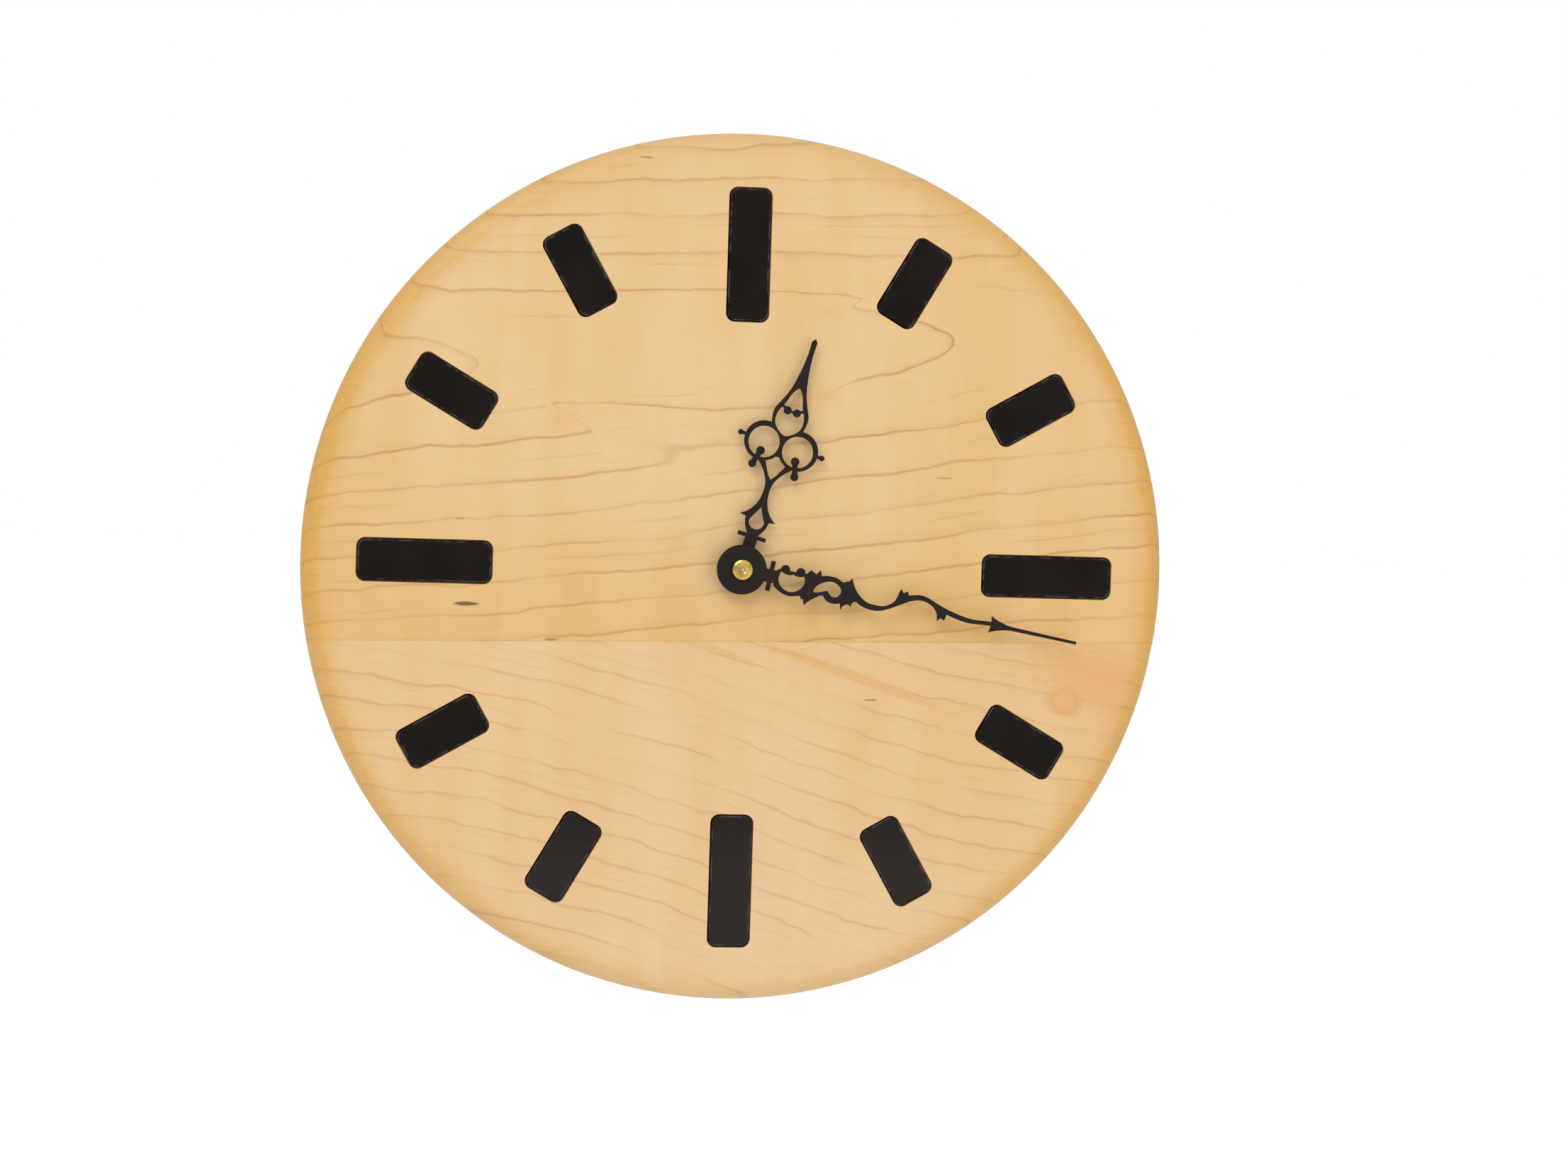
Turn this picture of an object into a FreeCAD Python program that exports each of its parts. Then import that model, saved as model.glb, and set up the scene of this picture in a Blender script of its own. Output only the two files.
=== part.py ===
import FreeCAD, Part
import Sketcher
import os
from math import acos, atan2, cos, pi, radians, sin, tan
from FreeCAD import Placement, Rotation, Vector

# Round solid-wood wall clock with a small battery movement.
#
# Everything is drawn in dial coordinates, in millimetres: X to the right, Y up and Z out
# of the wall towards the reader, with the origin on the hands' axis in the plane of the
# wall. STAND_UP then turns each finished piece to the part's own frame, where +Z is up
# and the dial faces -Y.

STAND_UP = Rotation(Vector(1, 0, 0), 90)
OUTWARD = Vector(0, 0, 1)

DIMENSIONS = {
    # dial
    "dial_diameter": 304.8,
    "dial_thickness": 22.0,
    "front_roundover": 6.35,
    "back_roundover": 1.2,
    "seam_drop": 25.5,
    "seam_tilt": 1.1,
    # hour bars and the pockets they lie in
    "bar_end_radius": 133.3,
    "bar_width": 15.3,
    "long_bar": 47.1,
    "short_bar": 31.1,
    "bar_corner": 3.2,
    "bar_gap": 0.45,
    "bar_height": 2.8,
    "bar_soft_edge": 0.7,
    "bar_pocket_depth": 3.0,
    # room for the movement behind the dial
    "pocket_side": 62.0,
    "pocket_floor": 17.3,
    "pocket_corner": 6.35,
    "dial_bore_radius": 4.2,
    # movement case
    "case_side": 56.0,
    "case_corner": 2.5,
    "case_wall": 1.3,
    "case_back": 0.3,
    "case_front": 16.3,
    "battery_wall_drop": 10.7,
    "battery_wall_sheet": 0.8,
    "front_plate": 1.2,
    "cover_plate": 1.5,
    "cover_lip": 0.9,
    "bushing_radius": 3.95,
    "bushing_bore_radius": 2.65,
    "bushing_end": 24.9,
    "gasket_side": 40.0,
    "gasket_height": 1.0,
    "gasket_corner": 4.0,
    "washer_radius": 7.5,
    "washer_height": 0.5,
    "nut_across_flats": 12.0,
    "nut_height": 2.0,
    # hands and the tubes that carry them
    "hour_tube_radius": 2.55,
    "hour_tube_bore": 1.68,
    "hour_tube_end": 26.6,
    "hour_hand_level": 25.2,
    "minute_arbor_radius": 1.6,
    "minute_arbor_bore": 0.56,
    "minute_arbor_end": 29.9,
    "minute_hand_level": 27.6,
    "seconds_arbor_radius": 0.5,
    "seconds_arbor_end": 30.3,
    "hand_thickness": 0.5,
    "hour_hub_radius": 8.5,
    "minute_hub_radius": 8.7,
    "collet_radius": 3.9,
    "hand_nut_radius": 3.7,
    "hand_nut_height": 2.4,
    "hour_hand_angle": 16.4,
    "minute_hand_angle": 100.8,
    # wheel train: distances between axes, and the bearing of each axis from its neighbour
    "third_distance": 9.0,
    "third_bearing": 180.0,
    "intermediate_distance": 9.36,
    "intermediate_bearing": 100.0,
    "rotor_distance": 6.16,
    "rotor_bearing": 90.0,
    "transfer_distance": 8.4,
    "transfer_bearing": 30.0,
    "knob_distance": 9.45,
    "knob_bearing": 0.0,
    "tooth_slack": 0.07,
    "wheel_height": 0.6,
    "pinion_height": 0.8,
    "motion_height": 0.8,
    "seconds_hub_radius": 0.72,
    "transfer_hub_radius": 1.2,
    "pivot_radius": 0.3,
    "pivot_room": 0.05,
    "arbor_radius": 0.45,
    "post_radius": 0.9,
    "transfer_post_radius": 0.7,
    "pillar_radius": 1.2,
    "pillar_pin_radius": 0.6,
    "left_pillar": -12.5,
    "right_pillar": 9.5,
    "knob_shaft_radius": 1.0,
    # levels of the wheels, measured out from the wall
    "hour_level": 14.1,
    "motion_level": 13.1,
    "centre_level": 12.1,
    "third_level": 11.1,
    "seconds_level": 10.1,
    "intermediate_level": 9.1,
    "magnet_level": 6.4,
    "magnet_height": 2.4,
    "magnet_radius": 3.0,
    "stator_level": 7.2,
    "stator_height": 0.8,
    "bridge_level": 4.4,
    "bridge_height": 1.2,
    "bridge_width": 20.0,
    "bridge_rise": 25.0,
    "bridge_arm_length": 28.0,
    "bridge_arm_width": 6.0,
    "bridge_corner": 2.5,
    "stator_length": 38.0,
    "stator_width": 8.0,
    "stator_leg_width": 6.0,
    "stator_leg_rise": 15.0,
    "stator_leg_spread": 16.0,
    # coil
    "coil_rise": 23.0,
    "coil_length": 20.0,
    "coil_radius": 2.9,
    "flange_radius": 3.2,
    "flange_height": 0.8,
    "spool_radius": 1.7,
    "core_length": 36.0,
    "core_width": 2.4,
    "core_height": 1.0,
    # circuit
    "board_across": -23.0,
    "board_width": 6.8,
    "board_length": 28.0,
    "board_sheet": 0.8,
    "board_level": 9.0,
    "chip_width": 4.6,
    "chip_length": 5.2,
    "chip_height": 1.2,
    "chip_corner": 0.8,
    "crystal_radius": 1.0,
    "crystal_length": 6.0,
    # hand-setting knob
    "knob_radius": 5.6,
    "knob_height": 2.2,
    "knob_flutes": 24,
    "flute_radius": 0.5,
    "flute_room": 0.15,
    "knob_well_radius": 6.6,
    "knob_well_depth": 3.2,
    # battery
    "battery_radius": 7.25,
    "battery_button": 2.75,
    "battery_button_height": 1.0,
    "battery_total": 50.5,
    "contact_sheet": 0.4,
    "contact_width": 10.0,
    "battery_drop": 19.0,
    "battery_level": 7.75,
    # wall hanger and its recess
    "hanger_rise": 113.0,
    "hanger_length": 50.0,
    "hanger_width": 10.0,
    "hanger_sheet": 0.8,
    "hanger_arch": 1.4,
    "hanger_shelf_depth": 3.0,
    "hanger_slot_depth": 8.0,
    "hanger_margin": 6.0,
    "hanger_slot_below": 5.0,
    "hanger_tooth": 2.2,
    "nail_radius": 0.8,
    "nail_head_radius": 2.2,
    "nail_head_height": 0.7,
    "nail_length": 9.0,
    "nail_spread": 21.0,
    "nail_hole_depth": 13.0,
    # length of the cutters that go right through a piece
    "drill_length": 40.0,
}

doc = FreeCAD.newDocument("wall_clock")
sheet = doc.addObject("Spreadsheet::Sheet", "Sizes")
for row, (alias, value) in enumerate(DIMENSIONS.items(), start=1):
    sheet.set(f"A{row}", alias)
    sheet.set(f"B{row}", str(value))
    sheet.setAlias(f"B{row}", alias)
doc.recompute()

nodes = []


def size(alias):
    return float(sheet.get(alias))


def bind(thing, **expressions):
    for prop, expression in expressions.items():
        thing.setExpression(prop.replace("__", "."), expression)
    return thing


# ---------------------------------------------------------------- building blocks


def at(x=0.0, y=0.0, level=0.0, turn=0.0):
    return Placement(Vector(x, y, level), Rotation(OUTWARD, turn))


def rod(name, radius, height, place):
    """Round bar standing out of the wall."""
    thing = doc.addObject("Part::Cylinder", name)
    thing.Placement = place
    return bind(thing, Radius=radius, Height=height)


def block(name, width, height, depth, place):
    """Rectangular block, centred across X and Y on its place."""
    thing = doc.addObject("Part::Box", name)
    bind(thing, Length=width, Width=height, Height=depth)
    doc.recompute()
    middle = Vector(-thing.Length.Value / 2, -thing.Width.Value / 2, 0)
    thing.Placement = place.multiply(Placement(middle, Rotation()))
    return thing


def fuse(name, shapes):
    thing = doc.addObject("Part::MultiFuse", name)
    thing.Shapes = shapes
    thing.Refine = True
    return thing


def cut(name, base, tools):
    thing = doc.addObject("Part::Cut", name)
    thing.Base = base
    thing.Tool = tools[0] if len(tools) == 1 else fuse(name + "_tools", tools)
    return thing


def extrusion(name, face, height, place):
    """Flat outline, kept as an object of its own, and the sheet or plate made from it."""
    outline = doc.addObject("Part::Feature", name + "_outline")
    outline.Shape = face
    outline.Placement = place
    thing = doc.addObject("Part::Extrusion", name)
    thing.Base = outline
    thing.DirMode = "Custom"
    thing.Dir = OUTWARD
    thing.Solid = True
    return bind(thing, LengthFwd=height)


def body_plane(body, role):
    return next(plane for plane in body.Origin.OriginFeatures if plane.Role == role)


def body_sketch(body, role, name):
    sketch = body.newObject("Sketcher::SketchObject", name)
    sketch.AttachmentSupport = (body_plane(body, role), [""])
    sketch.MapMode = "FlatFace"
    return sketch


def rectangle_in(sketch, width, height):
    """Four lines round the origin, held by their width and height."""
    w, h = 10.0, 10.0
    corners = [Vector(-w, -h, 0), Vector(w, -h, 0), Vector(w, h, 0), Vector(-w, h, 0)]
    for start, end in zip(corners, corners[1:] + corners[:1]):
        sketch.addGeometry(Part.LineSegment(start, end), False)
    for line in range(4):
        sketch.addConstraint(Sketcher.Constraint("Coincident", line, 2, (line + 1) % 4, 1))
    for line in (0, 2):
        sketch.addConstraint(Sketcher.Constraint("Horizontal", line))
    for line in (1, 3):
        sketch.addConstraint(Sketcher.Constraint("Vertical", line))
    sketch.addConstraint(Sketcher.Constraint("Symmetric", 0, 1, 1, 2, -1, 1))
    across = sketch.addConstraint(Sketcher.Constraint("DistanceX", 0, 1, 0, 2, 2 * w))
    upward = sketch.addConstraint(Sketcher.Constraint("DistanceY", 1, 1, 1, 2, 2 * h))
    sketch.renameConstraint(across, "across")
    sketch.renameConstraint(upward, "upward")
    sketch.setExpression("Constraints.across", width)
    sketch.setExpression("Constraints.upward", height)


def upright_edges(shape):
    """Names of the straight edges that run out of the wall."""
    names = []
    for number, edge in enumerate(shape.Edges, start=1):
        ends = edge.Vertexes
        if len(ends) == 2 and (ends[1].Point - ends[0].Point).cross(OUTWARD).Length < 1e-6:
            names.append(f"Edge{number}")
    return names


def rim_edges(shape, level):
    """Names of the edges that lie at one level."""
    names = []
    for number, edge in enumerate(shape.Edges, start=1):
        if abs(edge.BoundBox.ZMin - level) < 1e-6 and abs(edge.BoundBox.ZMax - level) < 1e-6:
            names.append(f"Edge{number}")
    return names


def rounded_pad(name, width, height, depth, corner, place, soft_edge=None):
    """Body: a rectangular pad with rounded corners and, if asked, a soft front edge."""
    body = doc.addObject("PartDesign::Body", name)
    sketch = body_sketch(body, "XY_Plane", name + "_sketch")
    rectangle_in(sketch, width, height)
    pad = body.newObject("PartDesign::Pad", name + "_pad")
    pad.Profile = sketch
    pad.setExpression("Length", depth)
    doc.recompute()
    corners = body.newObject("PartDesign::Fillet", name + "_corners")
    corners.Base = (pad, upright_edges(pad.Shape))
    corners.setExpression("Radius", corner)
    doc.recompute()
    if soft_edge:
        rim = body.newObject("PartDesign::Fillet", name + "_soft_edge")
        rim.Base = (corners, rim_edges(corners.Shape, pad.Length.Value))
        rim.setExpression("Radius", soft_edge)
    body.Placement = place
    return body


def turned(name, profile, place):
    """Body: a closed profile of (radius, height) points, turned about the sketch's Y axis."""
    body = doc.addObject("PartDesign::Body", name)
    sketch = body_sketch(body, "XZ_Plane", name + "_profile")
    points = [Vector(radius, height, 0) for radius, height in profile]
    for start, end in zip(points, points[1:] + points[:1]):
        sketch.addGeometry(Part.LineSegment(start, end), False)
    revolution = body.newObject("PartDesign::Revolution", name + "_turned")
    revolution.Profile = sketch
    revolution.ReferenceAxis = (sketch, ["V_Axis"])
    revolution.Angle = 360
    body.Placement = place
    return body


def finish(thing, label, turn=0.0):
    """Make a finished piece a node of its own, stood up in the part's frame."""
    thing.Label = label
    thing.Placement = Placement(Vector(), STAND_UP).multiply(at(turn=turn)).multiply(thing.Placement)
    nodes.append(thing)


# ---------------------------------------------------------------- dial


def bar_place(hour, length, level):
    turn = -30.0 * hour
    middle = size("bar_end_radius") - length / 2
    return at(turn=turn).multiply(at(y=middle, level=level))


def bar_size(hour):
    return "Sizes.long_bar" if hour % 3 == 0 else "Sizes.short_bar"


def bar_pocket(hour):
    length = size(bar_size(hour).split(".")[1])
    floor = size("dial_thickness") - size("bar_pocket_depth")
    return rounded_pad(
        f"bar_pocket_{hour:02d}",
        "Sizes.bar_width",
        bar_size(hour),
        "Sizes.bar_pocket_depth + 1",
        "Sizes.bar_corner",
        bar_place(hour, length, floor),
    )


def hour_bar(hour):
    length = size(bar_size(hour).split(".")[1])
    floor = size("dial_thickness") - size("bar_pocket_depth")
    bar = rounded_pad(
        f"bar_{hour:02d}",
        "Sizes.bar_width - 2 * Sizes.bar_gap",
        bar_size(hour) + " - 2 * Sizes.bar_gap",
        "Sizes.bar_height",
        "Sizes.bar_corner - Sizes.bar_gap",
        bar_place(hour, length, floor),
        "Sizes.bar_soft_edge",
    )
    finish(bar, f"hour_bar_{hour:02d}")


def hanger_recess():
    """Shelf for the hanger strip, and a deeper slot behind and below its teeth."""
    rise = size("hanger_rise")
    shelf = rounded_pad(
        "hanger_shelf",
        "Sizes.hanger_length + Sizes.hanger_margin",
        "Sizes.hanger_width + Sizes.hanger_margin",
        "Sizes.hanger_shelf_depth + 1",
        "Sizes.bar_corner",
        at(y=rise, level=-1),
    )
    slot = rounded_pad(
        "hanger_slot",
        "Sizes.hanger_length * 0.6",
        "Sizes.hanger_width + Sizes.hanger_margin + 2 * Sizes.hanger_slot_below",
        "Sizes.hanger_slot_depth + 1",
        "Sizes.bar_corner",
        at(y=rise - size("hanger_slot_below"), level=-1),
    )
    return [shelf, slot]


def dial_boards():
    """The two boards are glued, turned to a disc and routed as one, then told apart."""
    blank = rod("dial_blank", "Sizes.dial_diameter / 2", "Sizes.dial_thickness", at())
    doc.recompute()
    front, back = size("front_roundover"), size("back_roundover")
    rims = []
    for number, edge in enumerate(blank.Shape.Edges, start=1):
        if edge.Closed:
            radius = front if edge.BoundBox.ZMin > 1 else back
            rims.append((number, radius, radius))
    disc = doc.addObject("Part::Fillet", "dial_disc")
    disc.Base = blank
    disc.Edges = rims
    movement_room = rounded_pad(
        "movement_room",
        "Sizes.pocket_side",
        "Sizes.pocket_side",
        "Sizes.pocket_floor + 1",
        "Sizes.pocket_corner",
        at(level=-1),
    )
    bore = rod("dial_bore", "Sizes.dial_bore_radius", "Sizes.dial_thickness + 2", at(level=-1))
    pockets = [bar_pocket(hour) for hour in range(1, 13)]
    routed = cut("routed_disc", disc, [movement_room, bore] + hanger_recess() + nail_holes() + pockets)

    tilt = size("seam_tilt")
    side = 2 * size("dial_diameter")
    seam = at(turn=tilt).multiply(at(y=-size("seam_drop") * cos(radians(tilt))))
    lower_half = doc.addObject("Part::Box", "lower_half")
    bind(lower_half, Length="2 * Sizes.dial_diameter", Width="Sizes.dial_diameter")
    bind(lower_half, Height="Sizes.dial_thickness + 2")
    lower_half.Placement = seam.multiply(at(x=-side / 2, y=-side / 2, level=-1))
    lower = doc.addObject("Part::Common", "lower_of_disc")
    lower.Base, lower.Tool = routed, lower_half
    upper = cut("upper_of_disc", routed, [lower_half])
    finish(upper, "upper_board")
    finish(lower, "lower_board")


# ---------------------------------------------------------------- hands


def stretch(points):
    """One smooth stretch of an outline: a line through two points, a curve through more."""
    vectors = [Vector(across, along, 0) for along, across in points]
    if len(vectors) == 2:
        return Part.LineSegment(*vectors).toShape()
    curve = Part.BSplineCurve()
    curve.interpolate(vectors)
    return curve.toShape()


def mirrored(stretches):
    return [[(along, -across) for along, across in reversed(part)] for part in reversed(stretches)]


def slab(edges):
    """Slab of unit thickness on a closed outline."""
    solid = Part.Face(Part.Wire(edges)).extrude(OUTWARD)
    if solid.Volume < 0:
        solid.reverse()
    return solid


def leaf(stretches):
    """Slab inside stretches of (along, across) points that follow on from each other."""
    edges = []
    for part, following in zip(stretches, stretches[1:] + stretches[:1]):
        edges.append(stretch(part))
        if part[-1] != following[0]:
            edges.append(stretch([part[-1], following[0]]))
    return slab(edges)


def spot(along, across, radius):
    return slab([Part.Circle(Vector(across, along, 0), OUTWARD, radius).toShape()])


def strip(along_from, along_to, across_from, across_to):
    corners = [
        (along_from, across_from),
        (along_to, across_from),
        (along_to, across_to),
        (along_from, across_to),
    ]
    return leaf([[start, end] for start, end in zip(corners, corners[1:] + corners[:1])])


def union(slabs):
    return slabs[0].multiFuse(slabs[1:]).removeSplitter()


def underside(solid):
    """The one flat face on which a slab stands."""
    faces = [face for face in solid.Faces if face.BoundBox.ZMax < 1e-6]
    if len(faces) != 1:
        raise RuntimeError(f"the outline fell into {len(faces)} pieces")
    return faces[0]


def both_sides(make):
    return [make(1), make(-1)]


def hour_hand_face():
    """Serpentine hour hand, pointing to 12: the same on both sides of its centre line."""
    side = [
        [(7.0, 2.2), (13.2, 2.2)],
        [(13.2, 2.2), (15.5, 3.6), (17.2, 4.1), (18.3, 4.2)],
        [(18.3, 4.2), (18.7, 6.6)],
        [(18.7, 6.6), (22.0, 2.9), (26.0, 1.3), (28.5, 1.05), (31.0, 1.2)],
        [(31.0, 1.2), (33.0, 1.9), (36.0, 3.9), (38.9, 6.9)],
        [(38.9, 6.9), (40.2, 4.4)],
        [(40.2, 4.4), (38.0, 3.3), (36.0, 2.2), (34.0, 1.0), (33.0, 0.0)],
    ]
    teardrop = [
        [(14.8, 0.0), (15.3, 1.6), (17.0, 2.65), (18.6, 2.2)],
        [(18.6, 2.2), (22.8, 0.0)],
    ]
    head = [
        [(46.5, 0.0), (50.9, 5.6)],
        [(50.9, 5.6), (54.0, 6.15), (57.0, 6.25), (60.0, 5.0), (64.0, 3.3), (68.0, 2.2)],
        [(68.0, 2.2), (74.0, 1.25), (80.0, 0.9), (83.3, 1.0)],
        [(83.3, 1.0), (84.5, 0.0)],
    ]
    inside_head = [
        [(48.9, 0.0), (50.2, 2.6), (52.3, 4.5)],
        [(52.3, 4.5), (54.5, 5.0), (57.8, 4.3), (60.0, 3.2), (62.5, 2.4), (66.4, 0.0)],
    ]
    cross_piece = [
        [(57.3, 0.0), (57.3, 2.0)],
        [(57.3, 2.0), (58.2, 3.2), (58.2, 4.8)],
        [(58.2, 4.8), (59.4, 4.4)],
        [(59.4, 4.4), (58.9, 2.4), (58.2, 0.8), (58.1, 0.0)],
    ]
    web = strip(41.2, 49.0, -1.5, 1.5)
    rings = both_sides(lambda s: spot(45.3, 6.35 * s, 7.0))
    ring_holes = both_sides(lambda s: spot(44.9, 6.2 * s, 5.5))
    knobs = both_sides(lambda s: spot(45.6, 15.0 * s, 0.95))
    necks = [strip(45.0, 46.2, -14.6, -12.6), strip(45.0, 46.2, 12.6, 14.6)]
    dumbbells = []
    for s in (1, -1):
        dumbbells.append(spot(36.4, 7.8 * s, 1.4))
        dumbbells.append(spot(41.6, 6.4 * s, 1.5))
        grip = [(36.6, 8.8 * s), (41.4, 7.4 * s), (41.2, 5.5 * s), (36.2, 6.9 * s)]
        dumbbells.append(leaf([[a, b] for a, b in zip(grip, grip[1:] + grip[:1])]))
    solid = union(
        [spot(0, 0, size("hour_hub_radius")), strip(11.4, 12.8, -5.1, 5.1), web]
        + [leaf(side + mirrored(side)), leaf(head + mirrored(head))]
        + rings
    )
    open_work = [leaf(teardrop + mirrored(teardrop)), leaf(inside_head + mirrored(inside_head))]
    pierced = solid.cut(open_work + ring_holes)
    scallops = both_sides(lambda s: spot(57.8, 1.7 * s, 1.4))
    whole = union(
        [pierced] + knobs + necks + dumbbells + scallops
        + [leaf(cross_piece + mirrored(cross_piece))]
    )
    return underside(whole.cut(spot(0, 0, size("hour_tube_radius") + 0.3)))


def minute_hand_face():
    """Serpentine minute hand, pointing to 12, with its thorns and its waved stem."""
    outline = [
        [(7.0, 2.3), (12.0, 2.3)],
        [(12.0, 3.1), (14.0, 4.4), (16.0, 5.2), (18.0, 5.5), (20.0, 5.1), (22.0, 4.6)],
        [(22.6, 5.9), (23.1, 5.3)],
        [(24.0, 7.5), (25.0, 6.1), (27.0, 4.3), (28.5, 3.2), (30.0, 2.8)],
        [(30.0, 2.8), (31.0, 4.0), (32.5, 4.7), (34.0, 4.8), (36.3, 4.2)],
        [(37.0, 6.4), (37.8, 4.6), (39.2, 3.9)],
        [(40.2, 4.6), (40.9, 2.8), (41.8, 2.4)],
        [(41.8, 2.4), (43.0, 3.1), (45.0, 3.8), (47.5, 4.1), (50.0, 3.9), (54.0, 2.2),
         (58.0, -0.3), (62.0, -2.4), (64.5, -2.9), (67.0, -2.5), (70.0, -0.7), (70.9, 0.8)],
        [(71.4, 2.9), (72.3, 1.7)],
        [(73.9, 2.2), (74.2, 0.0)],
        [(74.2, 0.0), (76.0, 0.4), (80.0, 1.1), (83.0, 1.25), (87.0, 0.8), (90.6, 0.6)],
        [(90.3, 3.0), (92.0, 2.1), (94.0, 1.45), (96.0, 0.95), (98.0, 0.7)],
        [(122.0, 0.5), (122.0, -0.5)],
        [(98.0, -0.7), (96.0, -0.95), (94.0, -1.45), (92.0, -2.1), (90.3, -3.0)],
        [(90.6, -0.9), (87.0, -0.6), (84.0, -0.35), (80.0, -0.65), (76.0, -1.4),
         (70.0, -3.1), (67.0, -4.2), (64.0, -4.75), (61.0, -4.1), (59.6, -3.8)],
        [(59.1, -5.0), (57.6, -4.2)],
        [(56.7, -5.4), (56.1, -4.0)],
        [(56.1, -4.0), (55.7, -2.0), (54.8, -0.2), (53.5, 0.9), (52.0, 1.7), (49.0, 2.1),
         (46.0, 1.9), (44.0, 1.0), (42.5, 0.0), (41.0, -1.5), (40.0, -3.0)],
        [(38.7, -5.3), (38.1, -4.1)],
        [(37.0, -3.8), (35.5, -3.4), (34.0, -4.1), (32.0, -4.4), (30.0, -4.3), (28.0, -3.8)],
        [(27.3, -5.7), (26.0, -4.0)],
        [(24.0, -5.0), (22.6, -3.4)],
        [(20.5, -3.2), (13.0, -3.2)],
        [(12.0, -2.3), (7.0, -2.3)],
    ]
    crescent = [
        [(13.2, 0.0), (14.5, 2.6), (17.5, 4.0), (20.5, 3.2), (22.5, 0.5), (22.0, -2.3)],
        [(22.0, -2.3), (20.5, -1.8), (19.2, -1.8), (18.0, -2.2)],
        [(18.0, -2.2), (16.5, -1.6), (15.2, -1.8), (13.5, -2.3)],
    ]
    comma = [
        [(26.2, 2.2), (28.0, 2.0), (30.0, 1.2), (31.2, 0.9)],
        [(31.2, 0.9), (32.2, 2.0), (33.2, 2.5), (35.0, 2.0), (35.9, 0.2), (35.4, -1.0),
         (34.0, -2.1), (32.0, -2.6), (29.0, -1.6), (27.2, -0.3), (26.2, 2.2)],
    ]
    solid = union(
        [
            leaf(outline),
            spot(0, 0, size("minute_hub_radius")),
            strip(9.5, 11.1, -5.3, 5.3),
            spot(15.0, -3.3, 1.6),
            spot(20.5, -3.4, 1.6),
        ]
    )
    bore = spot(0, 0, size("minute_arbor_radius") + 0.02)
    return underside(solid.cut([leaf(crescent), leaf(comma), bore]))


def hand(label, face, level_alias, angle_alias):
    place = at(level=size(level_alias))
    thing = extrusion(label + "_sheet", face, "Sizes.hand_thickness", place)
    finish(thing, label, turn=-size(angle_alias))


def hands():
    hand("hour_hand", hour_hand_face(), "hour_hand_level", "hour_hand_angle")
    hand("minute_hand", minute_hand_face(), "minute_hand_level", "minute_hand_angle")

    level = size("hour_hand_level")
    grip = size("hour_tube_radius") + 0.02
    waist = size("hour_tube_radius") + 0.28
    flange = size("collet_radius")
    sheet_top = level + size("hand_thickness")
    profile = [
        (grip, level - 0.02),
        (waist, level - 0.02),
        (waist, sheet_top + 0.02),
        (flange, sheet_top + 0.02),
        (flange, sheet_top + 0.5),
        (grip, sheet_top + 0.5),
    ]
    finish(turned("hour_collet_body", profile, at()), "hour_collet")

    seat = size("minute_hand_level") + size("hand_thickness")
    radius, height = size("hand_nut_radius"), size("hand_nut_height")
    grip = size("minute_arbor_radius") + 0.02
    window = size("seconds_arbor_radius") + 0.45
    profile = [
        (grip, seat + 0.02),
        (radius, seat + 0.02),
        (radius, seat + height - 0.9),
        (radius - 0.25, seat + height - 0.35),
        (radius - 0.9, seat + height),
        (window + 0.5, seat + height),
        (window, seat + height - 0.3),
        (window, size("minute_arbor_end") + 0.05),
        (grip, size("minute_arbor_end") + 0.05),
    ]
    finish(turned("hand_nut_body", profile, at()), "hand_nut")


# ---------------------------------------------------------------- wheels

PRESSURE_ANGLE = radians(20)
TEETH = {
    "rotor_pinion": 8,
    "intermediate_wheel": 48,
    "intermediate_pinion": 12,
    "seconds_wheel": 60,
    "seconds_pinion": 8,
    "third_wheel": 60,
    "third_pinion": 8,
    "centre_wheel": 64,
    "cannon_pinion": 12,
    "transfer_wheel": 36,
    "transfer_pinion": 10,
    "hour_wheel": 40,
    "knob_pinion": 18,
}


def beside(start, name):
    """Axis of the next wheel, from its distance and bearing."""
    distance, bearing = size(name + "_distance"), radians(size(name + "_bearing"))
    return start + Vector(distance * cos(bearing), distance * sin(bearing), 0)


CENTRE = Vector(0, 0, 0)
THIRD = beside(CENTRE, "third")
INTERMEDIATE = beside(CENTRE, "intermediate")
ROTOR = beside(INTERMEDIATE, "rotor")
TRANSFER = beside(CENTRE, "transfer")
KNOB = beside(TRANSFER, "knob")


def polar(radius, angle):
    return Vector(radius * cos(angle), radius * sin(angle), 0)


def involute(angle):
    return tan(angle) - angle


def gear_face(teeth, module):
    """Spur gear outline with a tooth centred on +X; each flank is an arc on the involute."""
    pitch_radius = module * teeth / 2
    base_radius = pitch_radius * cos(PRESSURE_ANGLE)
    root_radius = pitch_radius - 1.3 * module
    tip_radius = pitch_radius + (0.9 if teeth < 20 else 0.8) * module
    start = max(root_radius, base_radius)
    middle = (start + tip_radius) / 2

    def half_tooth(radius):
        roll = acos(min(1.0, base_radius / radius))
        at_pitch = pi / (2 * teeth) - size("tooth_slack") / (2 * pitch_radius)
        return at_pitch + involute(PRESSURE_ANGLE) - involute(roll)

    edges = []
    step = 2 * pi / teeth
    foot = half_tooth(start)
    for number in range(teeth):
        centre = number * step
        rising = [polar(r, centre - half_tooth(r)) for r in (start, middle, tip_radius)]
        falling = [polar(r, centre + half_tooth(r)) for r in (tip_radius, middle, start)]
        foot_before = polar(root_radius, centre - foot)
        foot_after = polar(root_radius, centre + foot)
        if root_radius < base_radius:
            edges.append(Part.LineSegment(foot_before, rising[0]).toShape())
        edges.append(Part.Arc(*rising).toShape())
        edges.append(Part.Arc(rising[2], polar(tip_radius, centre), falling[0]).toShape())
        edges.append(Part.Arc(*falling).toShape())
        if root_radius < base_radius:
            edges.append(Part.LineSegment(falling[2], foot_after).toShape())
        valley = polar(root_radius, centre + step / 2)
        next_foot = polar(root_radius, centre + step - foot)
        edges.append(Part.Arc(foot_after, valley, next_foot).toShape())
    return Part.Face(Part.Wire(edges))


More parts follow.
